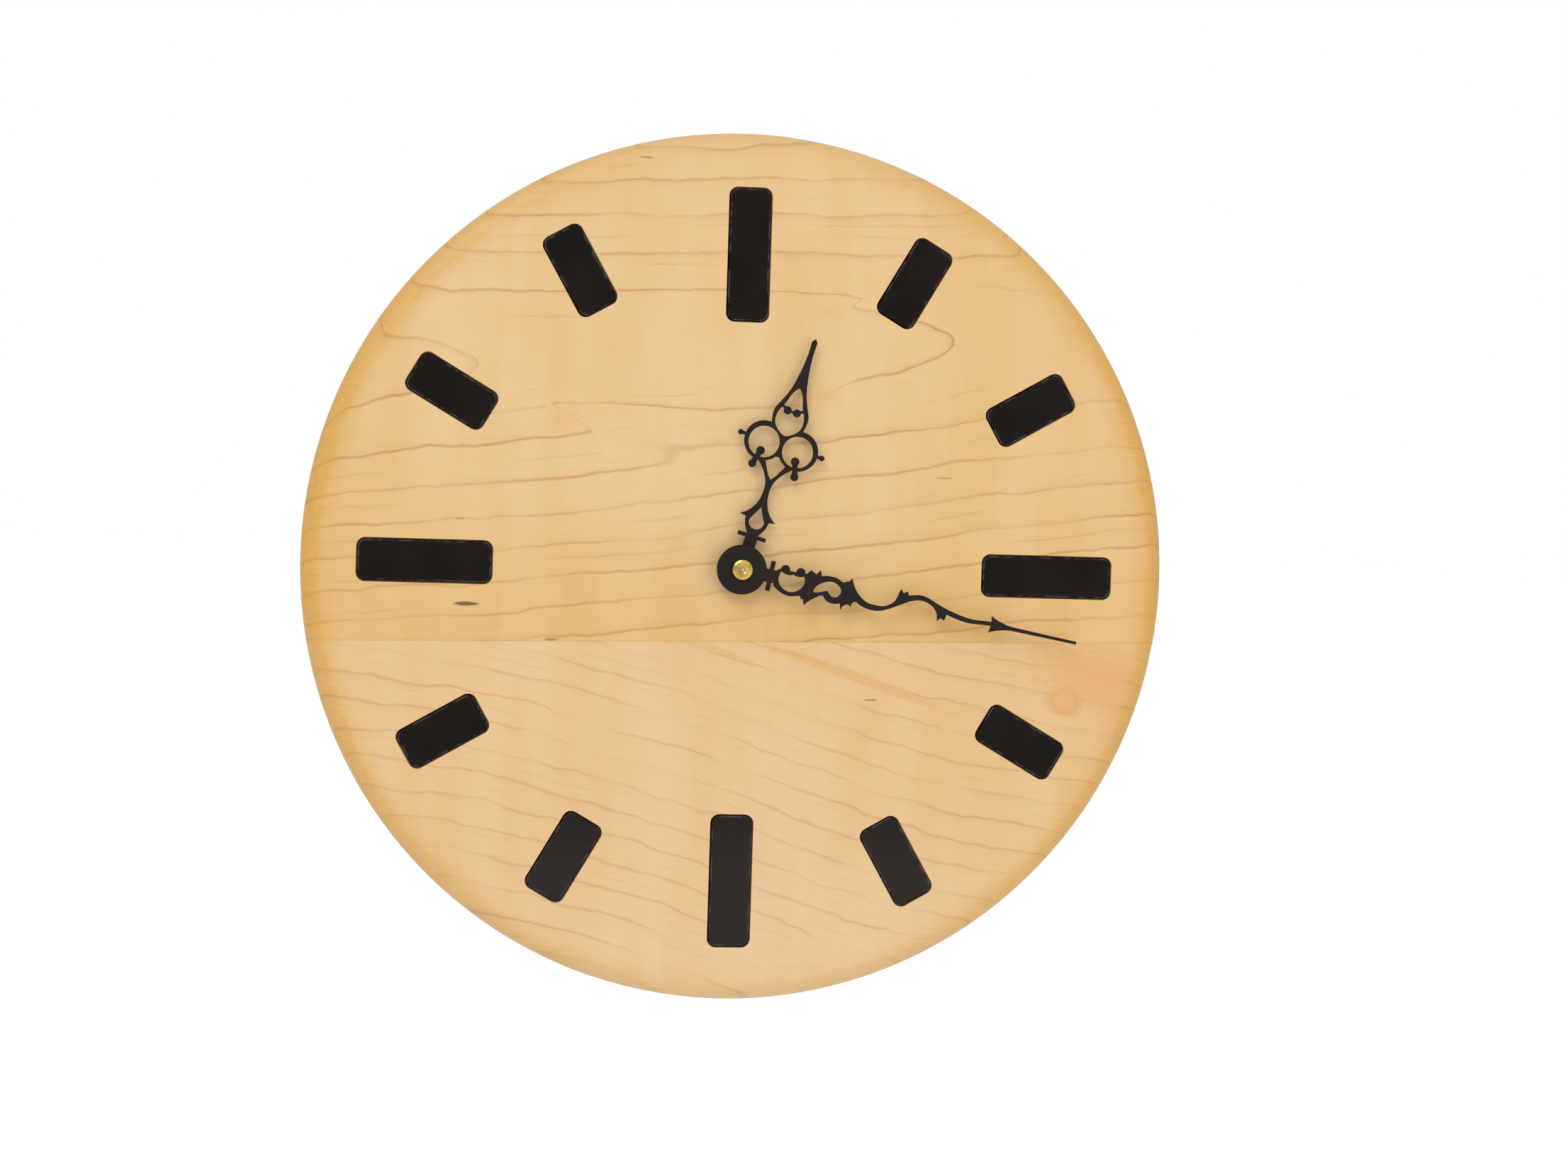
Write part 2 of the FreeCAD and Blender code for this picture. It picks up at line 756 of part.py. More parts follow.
def gear(name, axis, module, level, height, turn):
    face = gear_face(TEETH[name], module)
    place = Placement(axis + Vector(0, 0, size(level)), Rotation(OUTWARD, turn))
    return extrusion(name + "_teeth", face, height, place)


def meshed_pair(driver, driver_axis, driven, driven_axis, level, heights, driver_turn=None):
    """Two gears in mesh: a tooth of the driver on the line of centres, a gap of the other."""
    line = driven_axis - driver_axis
    teeth = TEETH[driver] + TEETH[driven]
    module = 2 * line.Length / teeth
    bearing = atan2(line.y, line.x) * 180 / pi
    pitch_a, pitch_b = 360.0 / TEETH[driver], 360.0 / TEETH[driven]
    turn_a = bearing if driver_turn is None else driver_turn
    offset = (turn_a - bearing) / pitch_a
    turn_b = bearing + 180 + (0.5 - offset) * pitch_b
    first = gear(driver, driver_axis, module, level, heights[0], turn_a)
    second = gear(driven, driven_axis, module, level, heights[1], turn_b)
    return first, second, turn_b


def pierce(name, solid, axis, radius):
    """The same solid with a round hole right through it, drilled from the wall side."""
    return cut(name, solid, [drill(name + "_hole", axis, radius)])


def drill(name, axis, radius):
    return rod(name, radius, "Sizes.drill_length", Placement(axis, Rotation()))


def rod_between(name, axis, radius, start, end):
    height = f"({end}) - ({start})"
    thing = rod(name, radius, height, Placement(axis, Rotation()))
    return bind(thing, Placement__Base__z=start)


def pivoted(name, axis, front):
    """Arbor with a thin pivot at each end: the rear one runs in the bridge."""
    bridge = "Sizes.bridge_level"
    shoulder = "Sizes.bridge_level + Sizes.bridge_height + 0.1"
    return [
        rod_between(name + "_arbor", axis, "Sizes.arbor_radius", shoulder, front),
        rod_between(name + "_pivots", axis, "Sizes.pivot_radius", bridge, front + " + 0.9"),
    ]


def wheel_train():
    thin, thick = "Sizes.wheel_height", "Sizes.pinion_height"
    motion = "Sizes.motion_height"

    rotor_leaves, intermediate_teeth, _ = meshed_pair(
        "rotor_pinion", ROTOR, "intermediate_wheel", INTERMEDIATE, "intermediate_level", (thick, thin)
    )
    intermediate_leaves, seconds_teeth, _ = meshed_pair(
        "intermediate_pinion", INTERMEDIATE, "seconds_wheel", CENTRE, "seconds_level", (thick, thin)
    )
    seconds_leaves, third_teeth, _ = meshed_pair(
        "seconds_pinion", CENTRE, "third_wheel", THIRD, "third_level", (thick, thin)
    )
    third_leaves, centre_teeth, _ = meshed_pair(
        "third_pinion", THIRD, "centre_wheel", CENTRE, "centre_level", (thick, thin)
    )
    cannon_leaves, transfer_teeth, transfer_turn = meshed_pair(
        "cannon_pinion", CENTRE, "transfer_wheel", TRANSFER, "motion_level", (motion, motion)
    )
    transfer_leaves, hour_teeth, _ = meshed_pair(
        "transfer_pinion", TRANSFER, "hour_wheel", CENTRE, "hour_level", (motion, motion)
    )
    knob_leaves = knob_pinion(transfer_turn, motion)

    parts = [rotor_leaves] + pivoted("rotor", ROTOR, "Sizes.intermediate_level + 1.2")
    finish(fuse("rotor_turned", parts), "rotor_pinion")
    magnet = rod_between(
        "magnet_disc",
        ROTOR,
        "Sizes.magnet_radius",
        "Sizes.magnet_level",
        "Sizes.magnet_level + Sizes.magnet_height",
    )
    finish(pierce("magnet_ring", magnet, ROTOR, "Sizes.arbor_radius + 0.01"), "rotor_magnet")

    parts = [intermediate_teeth, intermediate_leaves]
    parts += pivoted("intermediate", INTERMEDIATE, "Sizes.seconds_level + 1.2")
    finish(fuse("intermediate_turned", parts), "intermediate_wheel")

    parts = [third_teeth, third_leaves] + pivoted("third", THIRD, "Sizes.centre_level + 1.2")
    finish(fuse("third_turned", parts), "third_wheel")

    hub = rod_between(
        "seconds_hub",
        CENTRE,
        "Sizes.seconds_hub_radius",
        "Sizes.seconds_level",
        "Sizes.third_level + 0.1",
    )
    seconds = fuse("seconds_blank", [seconds_teeth, hub, seconds_leaves])
    bore = "Sizes.seconds_arbor_radius + 0.01"
    finish(pierce("seconds_moulding", seconds, CENTRE, bore), "seconds_wheel")
    shoulder = "Sizes.bridge_level + Sizes.bridge_height + 0.1"
    arbor = [
        rod_between(
            "seconds_rod",
            CENTRE,
            "Sizes.seconds_arbor_radius",
            shoulder,
            "Sizes.seconds_arbor_end",
        ),
        rod_between("seconds_pivot", CENTRE, "Sizes.pivot_radius", "Sizes.bridge_level", shoulder),
    ]
    finish(fuse("seconds_steel", arbor), "seconds_arbor")

    bore = "Sizes.minute_arbor_radius + 0.01"
    finish(pierce("centre_stamping", centre_teeth, CENTRE, bore), "centre_wheel")
    tube = rod_between(
        "minute_tube",
        CENTRE,
        "Sizes.minute_arbor_radius",
        "Sizes.centre_level - 0.1",
        "Sizes.minute_arbor_end",
    )
    minute = fuse("minute_blank", [tube, cannon_leaves])
    finish(pierce("minute_turned", minute, CENTRE, "Sizes.minute_arbor_bore"), "minute_arbor")

    tube = rod_between(
        "hour_tube",
        CENTRE,
        "Sizes.hour_tube_radius",
        "Sizes.hour_level",
        "Sizes.hour_tube_end",
    )
    hour = fuse("hour_blank", [tube, hour_teeth])
    finish(pierce("hour_moulding", hour, CENTRE, "Sizes.hour_tube_bore"), "hour_wheel")

    hub = rod_between(
        "transfer_hub",
        TRANSFER,
        "Sizes.transfer_hub_radius",
        "Sizes.motion_level",
        "Sizes.hour_level + 0.1",
    )
    transfer = fuse("transfer_blank", [transfer_teeth, hub, transfer_leaves])
    bore = "Sizes.transfer_post_radius + Sizes.pivot_room"
    finish(pierce("transfer_moulding", transfer, TRANSFER, bore), "transfer_wheel")

    set_knob(knob_leaves)


def knob_pinion(transfer_turn, height):
    """The knob's pinion meshes with the transfer wheel, which is already in its place."""
    line = KNOB - TRANSFER
    bearing = atan2(line.y, line.x) * 180 / pi
    module = 2 * line.Length / (TEETH["transfer_wheel"] + TEETH["knob_pinion"])
    offset = (transfer_turn - bearing) * TEETH["transfer_wheel"] / 360
    turn = bearing + 180 + (0.5 - offset) * 360 / TEETH["knob_pinion"]
    return gear("knob_pinion", KNOB, module, "motion_level", height, turn)


def set_knob(leaves):
    """Thumb knob with a fluted rim, sunk in the cover, on the shaft of its pinion."""
    grip = doc.addObject("PartDesign::Body", "knob_grip")
    round_sketch = body_sketch(grip, "XY_Plane", "knob_round")
    round_sketch.addGeometry(Part.Circle(Vector(), OUTWARD, size("knob_radius")), False)
    pad = grip.newObject("PartDesign::Pad", "knob_pad")
    pad.Profile = round_sketch
    pad.setExpression("Length", "Sizes.knob_height")
    doc.recompute()
    flute_sketch = body_sketch(grip, "XY_Plane", "knob_flute")
    centre = Vector(size("knob_radius") + size("flute_room"), 0, 0)
    flute_sketch.addGeometry(Part.Circle(centre, OUTWARD, size("flute_radius")), False)
    flute = grip.newObject("PartDesign::Pocket", "knob_flute_cut")
    flute.Profile = flute_sketch
    flute.Type = "ThroughAll"
    flute.Midplane = True
    doc.recompute()
    ring = grip.newObject("PartDesign::PolarPattern", "knob_flutes")
    ring.Originals = [flute]
    ring.Axis = (round_sketch, ["N_Axis"])
    ring.Angle = 360
    ring.setExpression("Occurrences", "Sizes.knob_flutes")
    grip.Tip = ring
    grip.Placement = Placement(KNOB + Vector(0, 0, size("case_back") + 0.2), Rotation())
    foot = "Sizes.case_back + 0.2 + Sizes.knob_height - 0.1"
    shaft = rod_between("knob_shaft", KNOB, "Sizes.knob_shaft_radius", foot, "Sizes.motion_level + 0.1")
    pivot = rod_between(
        "knob_pivot",
        KNOB,
        "Sizes.pillar_pin_radius",
        "Sizes.motion_level",
        "Sizes.motion_level + 1.8",
    )
    finish(fuse("knob_moulding", [grip, shaft, pivot, leaves]), "set_knob")


# ---------------------------------------------------------------- movement


def case_front():
    plate_back = "Sizes.case_front - Sizes.front_plate"
    opening = "Sizes.case_back + Sizes.cover_plate"
    shell = rounded_pad(
        "case_block",
        "Sizes.case_side",
        "Sizes.case_side",
        "Sizes.case_front - Sizes.case_back - Sizes.cover_plate",
        "Sizes.case_corner",
        at(level=size("case_back") + size("cover_plate")),
    )
    inside = "Sizes.case_side - 2 * Sizes.case_wall"
    depth = f"{plate_back} - ({opening}) + 1"
    seam = size("case_back") + size("cover_plate")
    hollow = block("case_hollow", inside, inside, depth, at(level=seam - 1))
    open_shell = cut("case_shell", shell, [hollow])
    wall_depth = f"{plate_back} - ({opening}) + 0.2"
    battery_wall = block(
        "battery_wall",
        inside + " + 0.2",
        "Sizes.battery_wall_sheet",
        wall_depth,
        at(y=-size("battery_wall_drop"), level=seam),
    )
    solid = [open_shell, battery_wall]
    holes = []
    front = plate_back + " + 0.2"
    for name, axis, start in (
        ("third", THIRD, "Sizes.centre_level + 1.3"),
        ("intermediate", INTERMEDIATE, "Sizes.seconds_level + 1.3"),
        ("rotor", ROTOR, "Sizes.intermediate_level + 1.3"),
    ):
        solid.append(rod_between(name + "_post", axis, "Sizes.post_radius", start, front))
        reach = start + " + 1"
        room = "Sizes.pivot_radius + Sizes.pivot_room"
        holes.append(rod_between(name + "_pivot_hole", axis, room, start + " - 0.5", reach))
    post = "Sizes.transfer_post_radius"
    solid.append(rod_between("transfer_post", TRANSFER, post, "Sizes.motion_level - 0.1", front))
    room = "Sizes.pillar_pin_radius + Sizes.pivot_room"
    start = plate_back + " - 0.1"
    holes.append(rod_between("knob_pivot_hole", KNOB, room, start, plate_back + " + 0.8"))
    for name in ("left_pillar", "right_pillar"):
        axis = Vector(size(name), ROTOR.y, 0)
        bridge_top = "Sizes.bridge_level + Sizes.bridge_height"
        solid.append(rod_between(name, axis, "Sizes.pillar_radius", bridge_top, front))
        pin_start = "Sizes.bridge_level - 0.3"
        solid.append(rod_between(name + "_pin", axis, "Sizes.pillar_pin_radius", pin_start, front))
    holes.append(
        rod_between(
            "hour_tube_hole",
            CENTRE,
            "Sizes.bushing_bore_radius",
            "Sizes.hour_level",
            "Sizes.bushing_end",
        )
    )
    finish(cut("case_moulding", fuse("case_with_posts", solid), holes), "case_front")


def case_cover():
    plate = rounded_pad(
        "cover_block",
        "Sizes.case_side",
        "Sizes.case_side",
        "Sizes.cover_plate",
        "Sizes.case_corner",
        at(level=size("case_back")),
    )
    plate_top = size("case_back") + size("cover_plate")
    lip_side = "Sizes.case_side - 2 * Sizes.case_wall - 0.2"
    lip_outer = block("lip_outer", lip_side, lip_side, "1.3", at(level=plate_top - 0.1))
    lip_inner = block(
        "lip_inner",
        lip_side + " - 2 * Sizes.cover_lip",
        lip_side + " - 2 * Sizes.cover_lip",
        "2",
        at(level=plate_top),
    )
    lip = cut("cover_lip", lip_outer, [lip_inner])
    well_wall = rod_between(
        "well_wall",
        KNOB,
        "Sizes.knob_well_radius + 0.8",
        "Sizes.case_back + 0.1",
        "Sizes.case_back + Sizes.knob_well_depth + 0.8",
    )
    well = rod_between(
        "well",
        KNOB,
        "Sizes.knob_well_radius",
        "Sizes.case_back - 1",
        "Sizes.case_back + Sizes.knob_well_depth",
    )
    shaft_hole = drill("well_hole", KNOB, "Sizes.knob_shaft_radius + Sizes.pivot_room")
    window = block(
        "battery_window",
        "Sizes.case_side - 2 * Sizes.case_wall - 0.4",
        "2 * Sizes.battery_radius + 0.7",
        "8",
        at(y=-size("battery_drop"), level=-2),
    )
    solid = fuse("cover_solid", [plate, lip, well_wall])
    finish(cut("cover_moulding", solid, [well, shaft_hole, window]), "case_cover")


def train_bridge():
    height = "Sizes.bridge_height"
    level = size("bridge_level")
    corner = "Sizes.bridge_corner"
    upright = rounded_pad(
        "bridge_upright",
        "Sizes.bridge_width",
        "Sizes.bridge_rise",
        height,
        corner,
        at(-4, 7.5, level),
    )
    arm = rounded_pad(
        "bridge_arm",
        "Sizes.bridge_arm_length",
        "Sizes.bridge_arm_width",
        height,
        corner,
        at(-1.5, ROTOR.y, level),
    )
    holes = []
    room = "Sizes.pivot_radius + Sizes.pivot_room"
    axes = {"centre": CENTRE, "third": THIRD, "intermediate": INTERMEDIATE, "rotor": ROTOR}
    for name, axis in axes.items():
        holes.append(drill(name + "_bridge_hole", axis, room))
    for name in ("left_pillar", "right_pillar"):
        axis = Vector(size(name), ROTOR.y, 0)
        holes.append(drill(name + "_bridge_hole", axis, "Sizes.pillar_pin_radius + 0.02"))
    finish(cut("bridge_moulding", fuse("bridge_solid", [upright, arm]), holes), "train_bridge")


def motor():
    """Stator plate round the rotor, and the coil on its core across the stator's two legs."""
    level = size("stator_level")
    height = "Sizes.stator_height"
    yoke_place = at(0, ROTOR.y, level)
    yoke = block("stator_yoke", "Sizes.stator_length", "Sizes.stator_width", height, yoke_place)
    plates = [yoke]
    rise = ROTOR.y + (size("stator_leg_rise") - size("stator_width")) / 2
    for side in (-1, 1):
        place = at(side * size("stator_leg_spread"), rise, level)
        name = f"stator_leg_{side}"
        leg = block(name, "Sizes.stator_leg_width", "Sizes.stator_leg_rise", height, place)
        plates.append(leg)
    holes = [drill("stator_hole", ROTOR, "Sizes.magnet_radius + 0.4")]
    for name in ("left_pillar", "right_pillar"):
        axis = Vector(size(name), ROTOR.y, 0)
        holes.append(drill(name + "_stator_hole", axis, "Sizes.pillar_radius + 0.05"))
    finish(cut("stator_stamping", fuse("stator_solid", plates), holes), "stator")

    rise = size("coil_rise")
    on_legs = level + size("stator_height")
    core_place = at(0, rise, on_legs)
    core = block(
        "core_strip", "Sizes.core_length", "Sizes.core_width", "Sizes.core_height", core_place
    )
    finish(core, "coil_core")

    middle = on_legs + size("core_height") / 2
    length = size("coil_length")
    along_x = Rotation(Vector(0, 1, 0), 90)

    def reel(name, radius, height, start):
        return rod(name, radius, height, Placement(Vector(start, rise, middle), along_x))

    flange = "Sizes.flange_height"
    left_end = -length / 2 - size("flange_height")
    spool_length = "Sizes.coil_length + 2 * Sizes.flange_height"
    parts = [
        reel("spool_tube", "Sizes.spool_radius", spool_length, left_end),
        reel("left_flange", "Sizes.flange_radius", flange, left_end),
        reel("right_flange", "Sizes.flange_radius", flange, length / 2),
    ]
    core_room = block(
        "core_room",
        "Sizes.core_length + 4",
        "Sizes.core_width + 0.04",
        "Sizes.core_height + 0.04",
        at(0, rise, on_legs - 0.02),
    )
    finish(cut("spool_moulding", fuse("spool_solid", parts), [core_room]), "coil_bobbin")
    winding_start = -length / 2 + 0.02
    winding = reel("winding_solid", "Sizes.coil_radius", "Sizes.coil_length - 0.04", winding_start)
    tube_room = reel("winding_bore", "Sizes.spool_radius + 0.01", spool_length, left_end)
    finish(cut("winding_ring", winding, [tube_room]), "coil_winding")


def circuit():
    """Board beside the train, with the control chip and the quartz can on its front."""
    across, level = size("board_across"), size("board_level")
    front = level + size("board_sheet")
    place = at(across, 6, level)
    board = block("board_blank", "Sizes.board_width", "Sizes.board_length", "Sizes.board_sheet", place)
    finish(board, "circuit_board")
    chip = rounded_pad(
        "chip_body",
        "Sizes.chip_width",
        "Sizes.chip_length",
        "Sizes.chip_height",
        "Sizes.chip_corner",
        at(across, 1, front),
    )
    finish(chip, "control_chip")
    middle = front + size("crystal_radius") + 0.05
    lying = Placement(Vector(across, 16, middle), Rotation(Vector(1, 0, 0), 90))
    can = rod("crystal_can", "Sizes.crystal_radius", "Sizes.crystal_length", lying)
    finish(can, "quartz_crystal")


def power():
    radius, total = size("battery_radius"), size("battery_total")
    can_length = total - size("battery_button_height")
    button = size("battery_button")
    profile = [
        (0, 0),
        (radius - 0.5, 0),
        (radius, 0.5),
        (radius, can_length - 0.8),
        (radius - 0.8, can_length),
        (button + 1.2, can_length),
        (button, can_length + 0.2),
        (button, total - 0.2),
        (button - 0.2, total),
        (0, total),
    ]
    along_x = Rotation(Vector(0, 1, 0), 90)
    place = Placement(Vector(-total / 2, -size("battery_drop"), size("battery_level")), along_x)
    finish(turned("battery_cell", profile, place), "battery")

    for label, side in (("positive_contact", 1), ("negative_contact", -1)):
        sheet_width = size("contact_sheet")
        near = total / 2 + 0.2 + sheet_width / 2
        far = near + 0.8
        drop = -size("battery_drop")
        width = "Sizes.contact_width"
        leaves = []
        for name, across in (("near", near), ("far", far)):
            leaf_place = at(side * across, drop, 3.0)
            leaves.append(block(f"{label}_{name}", "Sizes.contact_sheet", width, width, leaf_place))
        fold = block(
            label + "_fold",
            "Sizes.contact_sheet + 0.8",
            "Sizes.contact_sheet",
            width,
            at(side * (near + far) / 2, drop + size("contact_width") / 2, 3.0),
        )
        finish(fuse(label + "_strip", leaves + [fold]), label)


def movement_fixings():
    """Bushing through the dial with its gasket behind, and its washer and nut in front."""
    radius = "Sizes.bushing_radius"
    bushing = rod_between("bushing_blank", CENTRE, radius, "Sizes.case_front", "Sizes.bushing_end")
    bored = pierce("bushing_turned", bushing, CENTRE, "Sizes.bushing_bore_radius")
    finish(bored, "threaded_bushing")
    pad = rounded_pad(
        "gasket_blank",
        "Sizes.gasket_side",
        "Sizes.gasket_side",
        "Sizes.gasket_height",
        "Sizes.gasket_corner",
        at(level=size("case_front")),
    )
    finish(pierce("gasket_cut", pad, CENTRE, radius + " + 0.05"), "dial_gasket")
    face = "Sizes.dial_thickness"
    washer_top = face + " + Sizes.washer_height"
    ring = rod_between("washer_blank", CENTRE, "Sizes.washer_radius", face, washer_top)
    finish(pierce("washer_cut", ring, CENTRE, radius + " + 0.1"), "dial_washer")
    nut = doc.addObject("Part::Prism", "nut_blank")
    nut.Polygon = 6
    bind(nut, Circumradius="Sizes.nut_across_flats / 2 / cos(30 deg)", Height="Sizes.nut_height")
    nut.Placement = at(level=size("dial_thickness") + size("washer_height"))
    finish(pierce("nut_tapped", nut, CENTRE, radius + " + 0.01"), "hex_nut")


# ---------------------------------------------------------------- wall hanger


def hanger():
    """Arched strip with a toothed lower edge, nailed at both ends to the shelf of its recess."""
    half, sheet_height = size("hanger_length") / 2, size("hanger_sheet")
    foot, flat = size("hanger_shelf_depth"), half - 10
    crest = foot - size("hanger_arch")
    left = [(-half, foot), (-flat, foot), (-flat + 3, crest)]
    outer = left + [(-x, level) for x, level in reversed(left)]
    inner = [(x, level - sheet_height) for x, level in reversed(outer)]
    points = [Vector(x, level, 0) for x, level in outer + inner]
    face = Part.Face(Part.Wire(Part.makePolygon(points + points[:1]).Edges))
    strip_blank = extrusion("hanger_strip", face, "Sizes.hanger_width", at())
    tooth = size("hanger_tooth")
    width = size("hanger_width")
    tools = []
    side = tooth / 2**0.5
    centred = Placement(Vector(-side / 2, -4, -side / 2), Rotation())
    for number in range(-4, 5):
        edge = "Sizes.hanger_tooth / sqrt(2)"
        notch = block(f"tooth_notch_{number + 5}", edge, "8", edge, at())
        corner = Placement(Vector(number * tooth, 0, width), Rotation(Vector(0, 1, 0), 45))
        notch.Placement = corner.multiply(centred)
        tools.append(notch)
    across = Rotation(Vector(1, 0, 0), -90)
    for side in (-1, 1):
        place = Placement(Vector(side * size("nail_spread"), -1, width / 2), across)
        hole = rod(f"strip_nail_hole_{side}", "Sizes.nail_radius + 0.05", "Sizes.hanger_width", place)
        tools.append(hole)
    strip_cut = cut("hanger_stamping", strip_blank, tools)
    lean = Placement(Vector(0, size("hanger_rise") + width / 2, 0), Rotation(Vector(1, 0, 0), 90))
    strip_cut.Placement = lean
    finish(strip_cut, "sawtooth_hanger")

    nails = []
    seat = size("hanger_shelf_depth") - sheet_height
    for side in (-1, 1):
        x, y = side * size("nail_spread"), size("hanger_rise")
        head_place = at(x, y, seat - size("nail_head_height"))
        shank_place = at(x, y, seat - 0.1)
        head = rod(f"nail_head_{side}", "Sizes.nail_head_radius", "Sizes.nail_head_height", head_place)
        shank = rod(f"nail_shank_{side}", "Sizes.nail_radius", "Sizes.nail_length", shank_place)
        nails.append(fuse(f"nail_{side}", [head, shank]))
    pair = doc.addObject("Part::Compound", "nail_pair")
    pair.Links = nails
    finish(pair, "hanger_nails")


def nail_holes():
    room, depth = "Sizes.nail_radius + 0.02", "Sizes.nail_hole_depth"
    spread, rise = size("nail_spread"), size("hanger_rise")
    return [rod(f"nail_hole_{side}", room, depth, at(side * spread, rise)) for side in (-1, 1)]


# ---------------------------------------------------------------- the clock

dial_boards()
for hour_number in range(1, 13):
    hour_bar(hour_number)
hands()
wheel_train()
case_front()
case_cover()
train_bridge()
motor()
circuit()
power()
movement_fixings()
hanger()
doc.recompute()

for thing in doc.Objects:
    for trouble in ("Invalid", "Error"):
        if trouble in thing.State:
            raise RuntimeError(f"{thing.Name} ({thing.Label}) did not compute: {thing.State}")

os.makedirs("parts", exist_ok=True)
for node in nodes:
    if node.Shape.isNull() or not node.Shape.isValid():
        raise RuntimeError(f"{node.Label} has no valid shape")
    node.Shape.exportStep(f"parts/{node.Label}.step")
    print(f"{node.Label}: {len(node.Shape.Solids)} solid, {node.Shape.Volume:.1f} mm3")
print(len(nodes), "nodes")
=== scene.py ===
import math
from collections import namedtuple

import bpy
from mathutils import Matrix, Vector


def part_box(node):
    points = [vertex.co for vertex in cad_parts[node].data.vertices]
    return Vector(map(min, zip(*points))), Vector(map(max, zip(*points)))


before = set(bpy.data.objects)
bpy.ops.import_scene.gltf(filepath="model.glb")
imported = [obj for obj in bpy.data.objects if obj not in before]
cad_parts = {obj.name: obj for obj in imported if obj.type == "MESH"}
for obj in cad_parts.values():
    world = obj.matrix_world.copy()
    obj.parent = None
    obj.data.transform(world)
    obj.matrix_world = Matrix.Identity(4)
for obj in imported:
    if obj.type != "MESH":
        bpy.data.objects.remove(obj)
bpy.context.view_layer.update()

# Round maple wall clock. Metres, +Z up, the dial faces -Y, and Y 0 is the plane of the wall.
# Materials work in millimetres, because every one first turns its place into them. Noise is
# given by its waves per millimetre along X, Y and Z, so fibres are slow along X.

MM = 0.001

dial_low, dial_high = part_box("upper_board")
DIAL_FACE = dial_low.y / MM
DIAL_RADIUS = (dial_high.x - dial_low.x) / 2 / MM

# The seam between the two boards crosses the dial below the centre and rises a little to the right.
SEAM_HEIGHT = -25.5
SEAM_SLOPE = math.tan(math.radians(1.1))


# ---------------------------------------------------------------- node helper

Place = namedtuple("Place", "vector x y z")


class Look:
    """A material whose nodes are added by name and value. Sockets and numbers mix freely."""

    def __init__(self, name):
        self.material = bpy.data.materials.new(name)
        self.material.use_nodes = True
        self.tree = self.material.node_tree
        self.shader = self.tree.nodes["Principled BSDF"]

    def put(self, socket, value):
        if isinstance(value, bpy.types.NodeSocket):
            self.tree.links.new(value, socket)
        else:
            socket.default_value = value

    def add(self, kind, **settings):
        node = self.tree.nodes.new(kind)
        for key, value in settings.items():
            setattr(node, key, value)
        return node

    def math(self, operation, *values, clamp=False):
        node = self.add("ShaderNodeMath", operation=operation, use_clamp=clamp)
        for socket, value in zip(node.inputs, values):
            self.put(socket, value)
        return node.outputs[0]

    def total(self, *values):
        result = values[0]
        for value in values[1:]:
            result = self.math("ADD", result, value)
        return result

    def times(self, *values):
        result = values[0]
        for value in values[1:]:
            result = self.math("MULTIPLY", result, value)
        return result

    def less(self, first, second):
        return self.math("SUBTRACT", first, second)

    def gap(self, first, second):
        """Distance between two values."""
        return self.math("ABSOLUTE", self.less(first, second))

    def length(self, first, second):
        """Length of the hypotenuse over two sides."""
        squares = self.total(self.times(first, first), self.times(second, second))
        return self.math("SQRT", squares)

    def stretched(self, vector, factors, shift=(0, 0, 0)):
        node = self.add("ShaderNodeVectorMath", operation="MULTIPLY_ADD")
        for socket, value in zip(node.inputs, (vector, factors, shift)):
            self.put(socket, value)
        return node.outputs[0]

    def place(self):
        """Where the surface lies in the frame, in millimetres, as a vector and as its three parts."""
        coordinates = self.add("ShaderNodeTexCoord").outputs["Object"]
        vector = self.stretched(coordinates, (1 / MM,) * 3)
        parts = self.add("ShaderNodeSeparateXYZ")
        self.put(parts.inputs[0], vector)
        return Place(vector, *parts.outputs)

    def noise(self, here, waves, shift=(0, 0, 0), detail=2.0, roughness=0.5):
        node = self.add("ShaderNodeTexNoise")
        self.put(node.inputs["Vector"], self.stretched(here.vector, waves, shift))
        self.put(node.inputs["Scale"], 1.0)
        self.put(node.inputs["Detail"], detail)
        self.put(node.inputs["Roughness"], roughness)
        return node.outputs[0]

    def wander(self, here, waves, reach, shift=(0, 0, 0), detail=2.0):
        """Noise from -reach to +reach."""
        centred = self.less(self.noise(here, waves, shift, detail), 0.5)
        return self.times(centred, 2 * reach)

    def between(self, value, low, high, to_low=0.0, to_high=1.0):
        """Smooth step of a value from one range to another."""
        node = self.add("ShaderNodeMapRange", interpolation_type="SMOOTHSTEP")
        for socket, number in zip(node.inputs, (value, low, high, to_low, to_high)):
            self.put(socket, number)
        return node.outputs[0]

    def ramp(self, value, stops):
        """Grey ramp through (position, grey) stops."""
        node = self.add("ShaderNodeValToRGB")
        self.put(node.inputs[0], value)
        elements = node.color_ramp.elements
        while len(elements) < len(stops):
            elements.new(0.5)
        for element, (position, grey) in zip(elements, stops):
            element.position = position
            element.color = (grey, grey, grey, 1)
        return node.outputs[0]

    def mix(self, factor, first, second):
        node = self.add("ShaderNodeMix", data_type="RGBA")
        for socket, value in zip((node.inputs[0], *node.inputs[6:8]), (factor, first, second)):
            self.put(socket, value)
        return node.outputs[2]

    def bump(self, height, distance, strength=0.5):
        node = self.add("ShaderNodeBump")
        self.put(node.inputs["Height"], height)
        self.put(node.inputs["Distance"], distance)
        self.put(node.inputs["Strength"], strength)
        self.put(self.shader.inputs["Normal"], node.outputs[0])

    def set(self, **values):
        for name, value in values.items():
            self.put(self.shader.inputs[name.replace("_", " ")], value)


def rgb(red, green, blue):
    return (red, green, blue, 1.0)


# ---------------------------------------------------------------- growth rings of the two boards

# The pith runs behind the upper board, so its rings make tongues. To the right it rises and dips back.
PITH_HEIGHT = 76.0
PITH_RISE = 0.09
PITH_DEPTH = 35.6
PITH_DIP = 0.06
FLATTEST = 0.07

